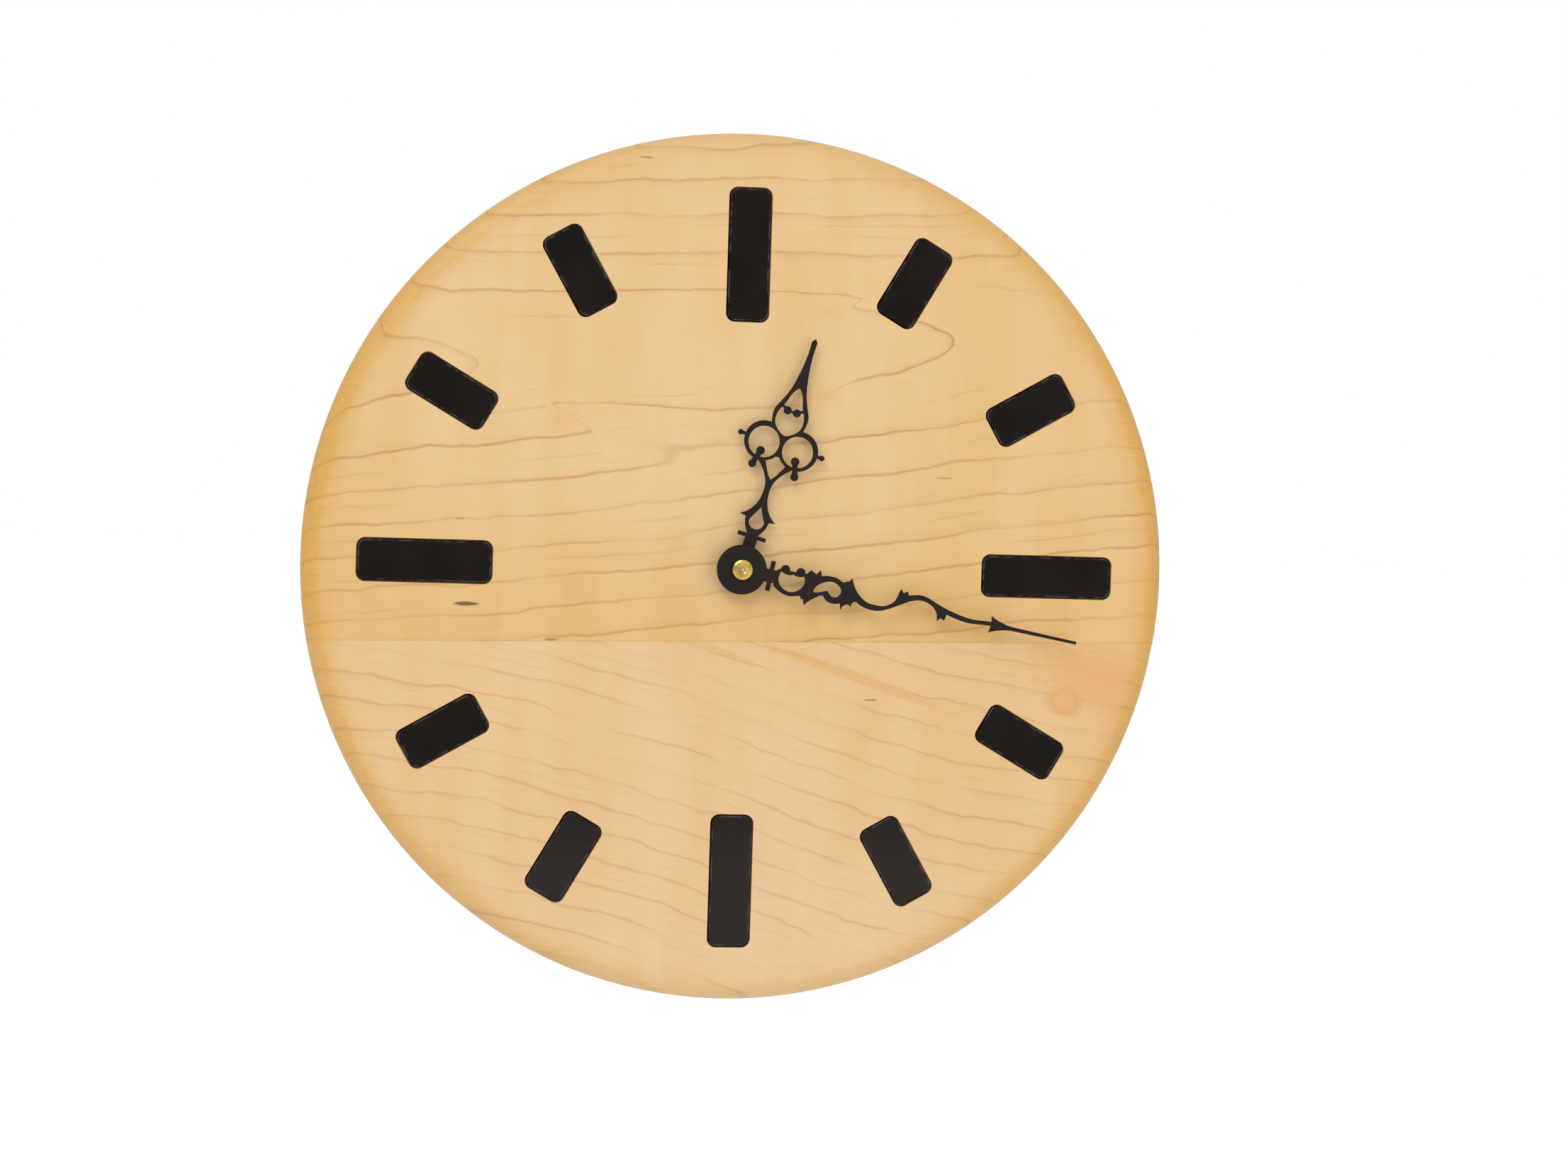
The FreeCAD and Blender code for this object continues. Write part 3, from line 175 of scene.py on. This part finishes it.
# The lower board was cut askew, so its rings are slopes that fall away to the right.
LOWER_SLOPE = 0.235
LOWER_DEPTH_SLOPE = 0.45
LOWER_WAVER = 1.2
LOWER_BOW = 4.0
LOWER_BOW_TURN = 0.024
LOWER_START = 400.0

# A fold is a sharp step in the rings. They step up by rise across a leaning line and sink back over
# reach, to the right of the line or, where reach is negative, to the left.
Fold = namedtuple("Fold", "x z lean rise reach")
FOLDS = (
    Fold(x=-61.0, z=51.5, lean=-1.9, rise=10.5, reach=62.0),
    Fold(x=29.0, z=90.5, lean=2.4, rise=4.5, reach=-130.0),
    Fold(x=27.0, z=61.0, lean=1.6, rise=-5.0, reach=-42.0),
)
FOLD_HALF_WIDTH = 2.2
FOLD_CREST = 2.0
FOLD_TALL = 3.0
FOLD_END = 17.0


def grain_waver(look, here, seed):
    """How far the growth rings stray: long slow waves, then shorter and finer ones."""
    return look.total(
        look.wander(here, (0.009, 0.012, 0.016), 3.4, (seed, 0, 0), 1.0),
        look.wander(here, (0.034, 0.050, 0.055), 2.2, (0, seed, 0), 2.0),
        look.wander(here, (0.100, 0.120, 0.100), 1.1, (0, 0, seed), 3.0),
    )


def folded(look, here, fold):
    """How far one fold lifts the rings."""
    offset = look.math("MULTIPLY_ADD", here.z, -fold.lean, fold.lean * fold.z - fold.x)
    ahead = look.times(look.math("ADD", here.x, offset), math.copysign(1.0, fold.reach))
    step = look.between(ahead, -FOLD_HALF_WIDTH, FOLD_HALF_WIDTH)
    sinking = look.between(ahead, FOLD_CREST, abs(fold.reach), 1.0, 0.0)
    near = look.between(look.gap(here.z, fold.z), FOLD_TALL, FOLD_END, fold.rise, 0.0)
    return look.times(step, sinking, near)


def upper_rings(look, here):
    """Distance from the pith, and how steeply the rings meet the face."""
    folds = look.total(*(folded(look, here, fold) for fold in FOLDS))
    middle = look.math("MULTIPLY_ADD", here.x, PITH_RISE, PITH_HEIGHT)
    across = look.less(look.less(here.z, middle), folds)
    across = look.math("ADD", across, grain_waver(look, here, 3.7))
    pith = look.math("MULTIPLY_ADD", here.x, PITH_DIP, PITH_DEPTH + DIAL_FACE)
    rings = look.length(across, look.less(pith, here.y))
    steep = look.math("ABSOLUTE", look.math("DIVIDE", across, rings))
    return rings, look.math("MAXIMUM", steep, FLATTEST)


def lower_rings(look, here):
    """Height over a gently bowed slope. Its rings cross the face squarely enough to count as steep 1."""
    stray = look.times(grain_waver(look, here, 8.2), LOWER_WAVER)
    slope = look.math("MULTIPLY_ADD", here.x, LOWER_SLOPE, here.z)
    bow = look.times(look.math("SINE", look.times(here.x, LOWER_BOW_TURN)), LOWER_BOW)
    depth = look.times(here.y, LOWER_DEPTH_SLOPE)
    return look.total(slope, bow, stray, depth, LOWER_START), 1.0


def ring_lines(look, here, rings, steep, pitch, least):
    """Thin dark late-wood lines, one to a ring, with faint ones between; 0 is clear wood."""
    turn = look.math("DIVIDE", rings, pitch)
    width = look.math("DIVIDE", pitch, steep)

    def away(shift):
        """Millimetres on the face to the line that lies at this part of a ring."""
        part = look.less(look.math("FRACT", look.math("ADD", turn, shift)), 0.5)
        return look.times(part, width)

    def thin(distance, core, edge):
        return look.between(look.math("ABSOLUTE", distance), core, edge, 1.0, 0.0)

    def strength(waves, shift, low, high, faintest, darkest):
        return look.between(look.noise(here, waves, shift), low, high, faintest, darkest)

    to_line = away(0.5)
    line = thin(to_line, 0.08, 0.80)
    shade = look.times(look.between(to_line, -3.6, 0.2), look.between(to_line, 0.0, 0.5, 1.0, 0.0))
    faint = thin(away(0.04), 0.05, 0.75)
    fainter = thin(away(0.77), 0.05, 0.70)
    return look.total(
        look.times(line, strength((0.012, 0.03, 0.07), (0, 0, 0), 0.36, 0.62, least, 1.0)),
        look.times(shade, strength((0.015, 0.03, 0.05), (3, 0, 8), 0.35, 0.65, 0.05, 0.30)),
        look.times(faint, strength((0.018, 0.05, 0.10), (5, 5, 5), 0.50, 0.70, 0.0, 0.50)),
        look.times(fainter, strength((0.020, 0.05, 0.12), (9, 2, 5), 0.52, 0.70, 0.0, 0.40)),
    )


# ---------------------------------------------------------------- marks and colours of the two boards

MAPLE_PALE = rgb(0.497, 0.336, 0.162)
MAPLE_PINK = rgb(0.502, 0.334, 0.170)
MAPLE_FOOT = rgb(0.525, 0.358, 0.208)
MAPLE_YELLOW = rgb(0.475, 0.280, 0.084)
MAPLE_LINE = rgb(0.285, 0.118, 0.034)
MAPLE_END = rgb(0.455, 0.256, 0.056)
MAPLE_KNOT = rgb(0.455, 0.218, 0.060)
MAPLE_FLECK = rgb(0.070, 0.035, 0.018)
MAPLE_ORANGE = rgb(0.480, 0.258, 0.090)
WHITE = rgb(1.0, 1.0, 1.0)

# Where tints begin and end, in millimetres: across the dial, up the dial, above the seam, by radius.
FLANK_MIDDLE = -12.0
FLANK_BAND = (78, 142)
FOOT_BAND = (-92.0, -130.0)
SEAM_BAND = (3, 52)
GLUE_BAND = (0.05, 0.38)
# The last two bands darken the rim: partly end-grain stain, partly painted shade of the rounded edge.
WASH_BAND = (DIAL_RADIUS - 13.0, DIAL_RADIUS - 6.0)
EDGE_BAND = (DIAL_RADIUS - 8.0, DIAL_RADIUS - 4.5)

# A mark is a ragged oval on the face, centred at (x, z). It reaches wide to each side, and high up and
# down. A leaning mark falls to the right by lean, and its z is taken where x is 0. Soft is how much of
# its reach fades out.
Mark = namedtuple("Mark", "x z wide high colour amount ragged soft lean", defaults=(0.25, 0.5, 0.0))
MARK_SKIN = 6.0
MARK_END = 9.0

UPPER_MARKS = (
    Mark(-62, 51, 8.5, 6.5, MAPLE_ORANGE, 0.42, ragged=0.4, soft=1.0),
    Mark(30, 91, 8, 4.5, MAPLE_ORANGE, 0.32, ragged=0.4, soft=1.0),
    Mark(28, 61, 8, 5, MAPLE_ORANGE, 0.30, ragged=0.4, soft=1.0),
    Mark(-95.0, -14.5, 5.2, 0.85, MAPLE_FLECK, 0.90),
    Mark(-65.5, -26.2, 2.8, 0.5, MAPLE_FLECK, 0.55),
    Mark(-37.0, 142.0, 3.2, 0.4, MAPLE_FLECK, 0.70),
    Mark(-98.0, 15.0, 2.4, 0.4, MAPLE_FLECK, 0.40),
    Mark(72.0, 34.0, 3.4, 0.45, MAPLE_FLECK, 0.35),
)
LOWER_MARKS = (
    Mark(118.0, -44.0, 8.0, 6.4, MAPLE_KNOT, 0.72, ragged=0.12),
    Mark(117.6, -43.6, 4.3, 3.5, MAPLE_PINK, 0.50, ragged=0.15),
    Mark(42, -23, 46, 2.8, MAPLE_ORANGE, 0.62, ragged=0.35, soft=0.7, lean=0.33),
    Mark(-4, -31, 14, 1.6, MAPLE_ORANGE, 0.50, ragged=0.35, soft=0.7, lean=0.33),
    Mark(132, 8, 44, 24, MAPLE_ORANGE, 0.95, ragged=0.35, soft=1.05, lean=0.33),
    Mark(48.0, -45.0, 3.0, 0.5, MAPLE_FLECK, 0.45),
)


def marked(look, here, colour, mark):
    """The colour with one mark on it, which fades out a few millimetres below the face."""
    height = look.math("MULTIPLY_ADD", here.x, mark.lean, here.z) if mark.lean else here.z
    along = look.math("DIVIDE", look.less(here.x, mark.x), mark.wide)
    across = look.math("DIVIDE", look.less(height, mark.z), mark.high)
    far = look.math("ADD", look.length(along, across), look.wander(here, (0.4, 0.4, 1.2), mark.ragged))
    front = look.between(here.y, DIAL_FACE + MARK_SKIN, DIAL_FACE + MARK_END, 1.0, 0.0)
    inside = look.times(look.between(far, 1.05 - mark.soft, 1.05, 1.0, 0.0), front)
    return look.mix(look.times(inside, mark.amount), colour, mark.colour)


def above_seam(look, here):
    """Height above the seam, in millimetres."""
    return look.less(look.less(here.z, look.times(here.x, SEAM_SLOPE)), SEAM_HEIGHT)


def upper_tint(look, here, colour):
    """The upper board yellows towards the seam."""
    drift = look.wander(here, (0.012, 0.01, 0.03), 14)
    band = look.between(look.math("ADD", above_seam(look, here), drift), *SEAM_BAND, 0.80, 0.0)
    return look.mix(band, colour, MAPLE_YELLOW)


def lower_tint(look, here, colour):
    """The lower board pales towards the foot of the dial."""
    return look.mix(look.between(here.z, *FOOT_BAND, 0.0, 0.60), colour, MAPLE_FOOT)


def rim_stain_and_shade(look, here, colour, stain_and_shade, end_grain, side_grain):
    """End grain drinks more lacquer than side grain, so the rim is amber on the left and right. The darker
    band all round the rim is partly that stain and partly painted shade of the rounded edge.
    """
    radius = look.length(here.x, here.z)
    sideways = look.math("DIVIDE", look.times(here.x, here.x), look.times(radius, radius))
    sideways = look.math("POWER", sideways, 0.6)
    ragged = look.math("ADD", radius, look.wander(here, (0.03, 0.03, 0.12), 2.0, detail=3.0))
    wash = look.between(ragged, *WASH_BAND, 0.0, 0.40)
    edge = look.math("ADD", wash, look.between(ragged, *EDGE_BAND, 0.0, 0.60))
    amount = look.math("MULTIPLY_ADD", sideways, end_grain - side_grain, side_grain)
    return look.mix(look.times(edge, amount), colour, stain_and_shade)


Board = namedtuple("Board", "rings pitch least depth base cloudy flanks tint marks end_grain side_grain")
UPPER = Board(
    rings=upper_rings, pitch=10.0, least=0.28, depth=0.54,
    base=MAPLE_PALE, cloudy=0.34, flanks=0.42, tint=upper_tint,
    marks=UPPER_MARKS, end_grain=1.0, side_grain=0.16,
)
LOWER = Board(
    rings=lower_rings, pitch=9.4, least=0.08, depth=0.29,
    base=MAPLE_PINK, cloudy=0.20, flanks=0.20, tint=lower_tint,
    marks=LOWER_MARKS, end_grain=0.88, side_grain=0.22,
)


def maple(name, board):
    """One board: rings and fibres over a cloudy base, then its own marks, the rim's stain and painted
    shade, and the glue.
    """
    look = Look(name)
    here = look.place()
    rings, steep = board.rings(look, here)
    lines = ring_lines(look, here, rings, steep, board.pitch, board.least)
    fibre = look.noise(here, (0.030, 1.0, 1.0), detail=4.0, roughness=0.60)
    pore = look.between(look.noise(here, (0.25, 3.0, 3.0)), 0.60, 0.74)
    cloud = look.noise(here, (0.017, 0.012, 0.022), (2, 1, 0), 3.0)
    curl = look.noise(here, (0.055, 0.02, 0.013), (0, 7, 0))
    flanks = look.between(look.gap(here.x, FLANK_MIDDLE), *FLANK_BAND, 0.0, board.flanks)
    glue = look.between(look.math("ABSOLUTE", above_seam(look, here)), *GLUE_BAND, 0.20, 0.0)

    colour = look.mix(look.between(cloud, 0.35, 0.70, 0.0, board.cloudy), board.base, MAPLE_YELLOW)
    colour = look.mix(flanks, colour, MAPLE_YELLOW)
    colour = board.tint(look, here, colour)
    colour = look.mix(look.times(lines, board.depth), colour, MAPLE_LINE)
    colour = look.mix(look.between(fibre, 0.30, 0.70, 0.0, 0.20), colour, MAPLE_YELLOW)
    colour = look.mix(look.times(pore, 0.10), colour, MAPLE_LINE)
    colour = look.mix(look.between(curl, 0.35, 0.70, 0.0, 0.035), colour, WHITE)
    for mark in board.marks:
        colour = marked(look, here, colour, mark)
    ends = look.total(look.times(lines, 0.30), look.between(fibre, 0.35, 0.65, 0.0, 0.16))
    stain_and_shade = look.mix(ends, MAPLE_END, MAPLE_LINE)
    # Rim darkening: end-grain stain on the left and right, and painted shade of the rounded edge all
    # round.
    colour = rim_stain_and_shade(look, here, colour, stain_and_shade, board.end_grain, board.side_grain)
    colour = look.mix(glue, colour, MAPLE_LINE)

    look.set(Base_Color=colour, Coat_Weight=0.06, Coat_Roughness=0.35, Specular_IOR_Level=0.30)
    look.set(Roughness=look.between(fibre, 0.2, 0.8, 0.46, 0.58))
    relief = look.total(look.times(fibre, 0.6), look.times(pore, -0.5), look.times(lines, -0.25))
    look.bump(relief, 0.00005)
    return look.material


# ---------------------------------------------------------------- bars and hands

BAR_DARK = rgb(0.0040, 0.0022, 0.0017)
BAR_BLACK = rgb(0.0070, 0.0044, 0.0036)
# Painted sheen of the lower pads.
BAR_SHEEN = rgb(0.0205, 0.0155, 0.0135)
# Painted highlight on the pads' rounded shoulders.
BAR_HIGHLIGHT = rgb(0.075, 0.066, 0.060)
HAND_DARK = rgb(0.0060, 0.0036, 0.0028)
HAND_BLACK = rgb(0.0125, 0.0082, 0.0064)
# Where the painted sheen on the pads begins and ends, down the dial.
SHEEN_BAND = (-60.0, -112.0)


def bar_black():
    """Charcoal pads with an orange-peel face, a painted highlight in patches on their rounded shoulders,
    and a painted sheen that makes them paler towards the foot of the dial.
    """
    look = Look("bar_black")
    here = look.place()
    cloud = look.noise(here, (0.05, 0.05, 0.05), detail=3.0)
    grit = look.noise(here, (2.4, 2.4, 2.4), detail=3.0, roughness=0.6)
    colour = look.mix(look.between(cloud, 0.3, 0.7), BAR_DARK, BAR_BLACK)
    # Painted sheen: the pads grow paler towards the foot of the dial.
    colour = look.mix(look.between(here.z, *SHEEN_BAND, 0.0, 0.75), colour, BAR_SHEEN)
    # Painted highlight: paler patches where the rounded shoulders of the pads tilt away from the face.
    normal = look.add("ShaderNodeSeparateXYZ")
    look.put(normal.inputs[0], look.add("ShaderNodeNewGeometry").outputs["Normal"])
    facing = look.math("ABSOLUTE", normal.outputs[1])
    shoulder = look.ramp(facing, [(0.0, 0.0), (0.55, 0.0), (0.80, 1.0), (0.97, 1.0), (1.0, 0.0)])
    highlight_patches = look.between(look.noise(here, (0.35, 0.35, 0.35), (6, 6, 6), 3.0), 0.42, 0.62)
    colour = look.mix(look.times(shoulder, highlight_patches, 0.60), colour, BAR_HIGHLIGHT)
    look.set(Base_Color=colour, Specular_IOR_Level=0.07)
    look.set(Roughness=look.between(grit, 0.3, 0.7, 0.40, 0.55))
    look.bump(look.total(look.times(grit, 0.5), cloud), 0.00008)
    return look.material


def hand_black():
    """Stamped sheet under a thin coat of black lacquer."""
    look = Look("hand_black")
    peel = look.noise(look.place(), (1.6, 1.6, 1.6), detail=3.0, roughness=0.55)
    look.set(Base_Color=look.mix(peel, HAND_DARK, HAND_BLACK), Specular_IOR_Level=0.12)
    look.set(Roughness=look.between(peel, 0.3, 0.7, 0.36, 0.48))
    look.bump(peel, 0.00003)
    return look.material


# ---------------------------------------------------------------- metals and plastics of the movement

BRASS = rgb(0.58, 0.39, 0.115)
BRASS_DULL = rgb(0.37, 0.23, 0.057)
STEEL = rgb(0.62, 0.62, 0.63)
STEEL_DULL = rgb(0.42, 0.42, 0.44)
FERRITE = rgb(0.10, 0.10, 0.11)
FERRITE_DULL = rgb(0.06, 0.06, 0.065)
COPPER = rgb(0.62, 0.22, 0.085)
COPPER_SHADE = rgb(0.16, 0.045, 0.015)

CASE_BLACK = rgb(0.014, 0.014, 0.015)
CASE_SHADE = rgb(0.020, 0.020, 0.021)
GEAR_WHITE = rgb(0.70, 0.69, 0.64)
GEAR_SHADE = rgb(0.64, 0.63, 0.57)
BOBBIN_RED = rgb(0.45, 0.035, 0.02)
BOBBIN_SHADE = rgb(0.36, 0.03, 0.02)
EPOXY_BLACK = rgb(0.008, 0.008, 0.009)
EPOXY_SHADE = rgb(0.012, 0.012, 0.012)
RUBBER_BLACK = rgb(0.012, 0.012, 0.012)
RUBBER_SHADE = rgb(0.020, 0.020, 0.020)

BOARD_GREEN = rgb(0.012, 0.105, 0.040)
TRACK_GREEN = rgb(0.10, 0.30, 0.12)
SLEEVE_BLUE = rgb(0.015, 0.035, 0.16)
SLEEVE_ORANGE = rgb(0.70, 0.36, 0.09)
SLEEVE_SILVER = rgb(0.62, 0.62, 0.64)


def metal(name, bright, dull, rough, waves=(0.4, 0.4, 14.0)):
    """Metal with fine tool marks along one way and cloudy tarnish."""
    look = Look(name)
    here = look.place()
    marks = look.noise(here, waves, detail=3.0, roughness=0.6)
    tarnish = look.noise(here, (0.25, 0.25, 0.25), (4, 4, 4), 4.0, 0.6)
    look.set(Base_Color=look.mix(look.between(tarnish, 0.35, 0.70), bright, dull), Metallic=1.0)
    look.set(Roughness=look.between(marks, 0.25, 0.75, rough - 0.06, rough + 0.10))
    look.bump(marks, 0.00002)
    return look.material


def plastic(name, main, shade, rough, grain=1.8, relief=0.00003):
    """Moulded plastic: an even colour with slight flow marks and a fine spark-eroded skin."""
    look = Look(name)
    here = look.place()
    flow = look.noise(here, (0.06, 0.06, 0.12), (1, 2, 3), 3.0)
    skin = look.noise(here, (grain, grain, grain), detail=3.0, roughness=0.6)
    look.set(Base_Color=look.mix(look.between(flow, 0.3, 0.7), main, shade))
    look.set(Roughness=look.between(skin, 0.25, 0.75, rough - 0.05, rough + 0.08))
    look.bump(skin, relief)
    return look.material


def copper_winding():
    """Enamelled wire wound side by side along the coil, five turns to the millimetre, with painted shade
    in the grooves between turns.
    """
    look = Look("copper_winding")
    turn = look.math("FRACT", look.times(look.place().x, 5.0))
    # Painted shade: each turn darkens into the grooves beside its neighbours.
    ridge = look.math("SINE", look.times(turn, math.pi))
    look.set(Base_Color=look.mix(ridge, COPPER_SHADE, COPPER), Metallic=0.85, Roughness=0.3)
    look.bump(ridge, 0.00008, 0.8)
    return look.material


def circuit_green():
    """Solder mask over upright tracks, which jog sideways every four millimetres."""
    look = Look("circuit_green")
    here = look.place()
    jog = look.times(look.math("FLOOR", look.times(here.z, 0.25)), 0.37)
    tracks = look.math("FRACT", look.total(look.times(here.x, 0.55), jog))
    copper = look.between(look.gap(tracks, 0.5), 0.16, 0.20, 0.30, 0.0)
    look.set(Base_Color=look.mix(copper, BOARD_GREEN, TRACK_GREEN), Roughness=0.32, Coat_Weight=0.3)
    look.bump(copper, 0.00004, 0.6)
    return look.material


def battery_sleeve():
    """Plain sleeve in two colours with a silver ring where they meet, and bare metal at both ends."""
    look = Look("battery_sleeve")
    here = look.place()
    low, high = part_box("battery")
    start, end = low.x / MM, high.x / MM
    meeting = start + 0.70 * (end - start)
    blend = 0.005 * (end - start)
    scuff = look.noise(here, (0.5, 1.5, 1.5), detail=4.0, roughness=0.65)
    colour = look.mix(look.between(here.x, meeting, meeting + blend), SLEEVE_BLUE, SLEEVE_ORANGE)
    ring = look.between(look.gap(here.x, meeting), 0.5, 0.6, 1.0, 0.0)
    cap = look.between(here.x, end - 1.9, end - 1.8)
    base = look.between(here.x, start + 0.5, start + 0.6, 1.0, 0.0)
    bare = look.total(cap, base)
    colour = look.mix(bare, look.mix(ring, colour, SLEEVE_SILVER), STEEL)
    look.set(Base_Color=colour, Metallic=look.math("ADD", bare, look.times(ring, 0.6), clamp=True))
    look.set(Roughness=look.between(scuff, 0.3, 0.7, 0.22, 0.36))
    look.bump(scuff, 0.00002, 0.4)
    return look.material


# ---------------------------------------------------------------- which piece wears what


def dress(material, *names):
    for name in names:
        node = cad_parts[name]
        node.data.materials.clear()
        node.data.materials.append(material)


HOUR_BARS = [f"hour_bar_{hour:02d}" for hour in range(1, 13)]
WHITE_WHEELS = ["intermediate_wheel", "seconds_wheel", "third_wheel", "transfer_wheel", "hour_wheel"]

dress(maple("maple_upper", UPPER), "upper_board")
dress(maple("maple_lower", LOWER), "lower_board")
dress(bar_black(), *HOUR_BARS)
dress(hand_black(), "hour_hand", "minute_hand", "hour_collet")

brass_turned = metal("brass_turned", BRASS, BRASS_DULL, 0.24)
steel_bright = metal("steel_bright", STEEL, STEEL_DULL, 0.28)
steel_zinc = metal("steel_zinc", STEEL, STEEL_DULL, 0.40, waves=(1.2, 1.2, 1.2))
dress(brass_turned, "hand_nut", "hex_nut", "dial_washer", "threaded_bushing")
dress(metal("brass_stamped", BRASS, BRASS_DULL, 0.32), "centre_wheel", "minute_arbor")
dress(steel_bright, "seconds_arbor", "positive_contact", "negative_contact")
dress(steel_zinc, "sawtooth_hanger", "hanger_nails", "stator", "coil_core")
dress(metal("crystal_can", STEEL, STEEL_DULL, 0.16), "quartz_crystal")
dress(metal("ferrite", FERRITE, FERRITE_DULL, 0.45), "rotor_magnet")

gear_white = plastic("gear_white", GEAR_WHITE, GEAR_SHADE, 0.42)
gasket_rubber = plastic("gasket_rubber", RUBBER_BLACK, RUBBER_SHADE, 0.75, grain=0.9, relief=0.0001)
dress(plastic("case_black", CASE_BLACK, CASE_SHADE, 0.48), "case_front", "case_cover")
dress(gear_white, *WHITE_WHEELS, "rotor_pinion", "train_bridge", "set_knob")
dress(plastic("bobbin_red", BOBBIN_RED, BOBBIN_SHADE, 0.40), "coil_bobbin")
dress(plastic("epoxy_black", EPOXY_BLACK, EPOXY_SHADE, 0.22), "control_chip")
dress(gasket_rubber, "dial_gasket")
dress(copper_winding(), "coil_winding")
dress(circuit_green(), "circuit_board")
dress(battery_sleeve(), "battery")


# ---------------------------------------------------------------- camera, floor and light

# The viewer stands a metre off, a little to the left and above, and leans the picture slightly.
CAMERA_AZIMUTH = -7.25
CAMERA_ELEVATION = 1.9
CAMERA_ROLL = 1.77
CAMERA_DISTANCE = 1.010
CAMERA_LENS = 66.24
CAMERA_SENSOR = 36.0
CAMERA_SHIFT = (0.02823, -0.0121)

# The floor lies well below the clock and glows a little, so that no horizon shows against the white.
FLOOR_HALF = 14.0
FLOOR_HEIGHT = -0.42
FLOOR_GLOW = 0.08
PAPER = rgb(0.97, 0.97, 0.97)
PAPER_SHADE = rgb(0.94, 0.94, 0.94)


def add_object(name, data):
    thing = bpy.data.objects.new(name, data)
    bpy.context.scene.collection.objects.link(thing)
    return thing


def camera():
    azimuth = math.radians(CAMERA_AZIMUTH)
    elevation = math.radians(CAMERA_ELEVATION)
    back = Vector((
        math.sin(azimuth) * math.cos(elevation),
        -math.cos(azimuth) * math.cos(elevation),
        math.sin(elevation),
    ))
    aim = Vector((0, dial_low.y, 0))
    data = bpy.data.cameras.new("camera")
    data.lens = CAMERA_LENS
    data.sensor_width = CAMERA_SENSOR
    data.shift_x, data.shift_y = CAMERA_SHIFT
    eye = add_object("camera", data)
    turn = back.to_track_quat("Z", "Y").to_matrix().to_4x4()
    roll = Matrix.Rotation(math.radians(CAMERA_ROLL), 4, "Z")
    eye.matrix_world = Matrix.Translation(aim + back * CAMERA_DISTANCE) @ turn @ roll
    bpy.context.scene.camera = eye


def floor_paper():
    look = Look("floor_paper")
    tooth = look.noise(look.place(), (0.3, 0.3, 0.3), detail=3.0)
    look.set(Base_Color=look.mix(tooth, PAPER_SHADE, PAPER), Roughness=0.9)
    look.set(Emission_Color=WHITE, Emission_Strength=FLOOR_GLOW)
    return look.material


def floor():
    mesh = bpy.data.meshes.new("floor")
    turns = ((-1, -1), (1, -1), (1, 1), (-1, 1))
    corners = [(FLOOR_HALF * x, FLOOR_HALF * y, FLOOR_HEIGHT) for x, y in turns]
    mesh.from_pydata(corners, [], [(0, 1, 2, 3)])
    mesh.materials.append(floor_paper())
    ground = add_object("floor", mesh)


def softbox(name, place, size, watts):
    """A rectangular lamp that faces the middle of the clock."""
    data = bpy.data.lights.new(name, "AREA")
    data.shape = "RECTANGLE"
    data.size, data.size_y = size
    data.energy = watts
    lamp = add_object(name, data)
    lamp.location = place
    lamp.rotation_euler = Vector(place).to_track_quat("Z", "Y").to_euler()


def lighting():
    world = bpy.data.worlds.new("studio")
    world.use_nodes = True
    background = world.node_tree.nodes["Background"]
    background.inputs["Color"].default_value = WHITE
    background.inputs["Strength"].default_value = 1.0
    bpy.context.scene.world = world
    softbox("key", (-0.9, -1.9, 1.7), (1.4, 1.4), 34)
    softbox("fill", (1.3, -1.8, 0.3), (1.2, 1.6), 9)


camera()
floor()
lighting()
bpy.context.scene.view_settings.view_transform = "Standard"
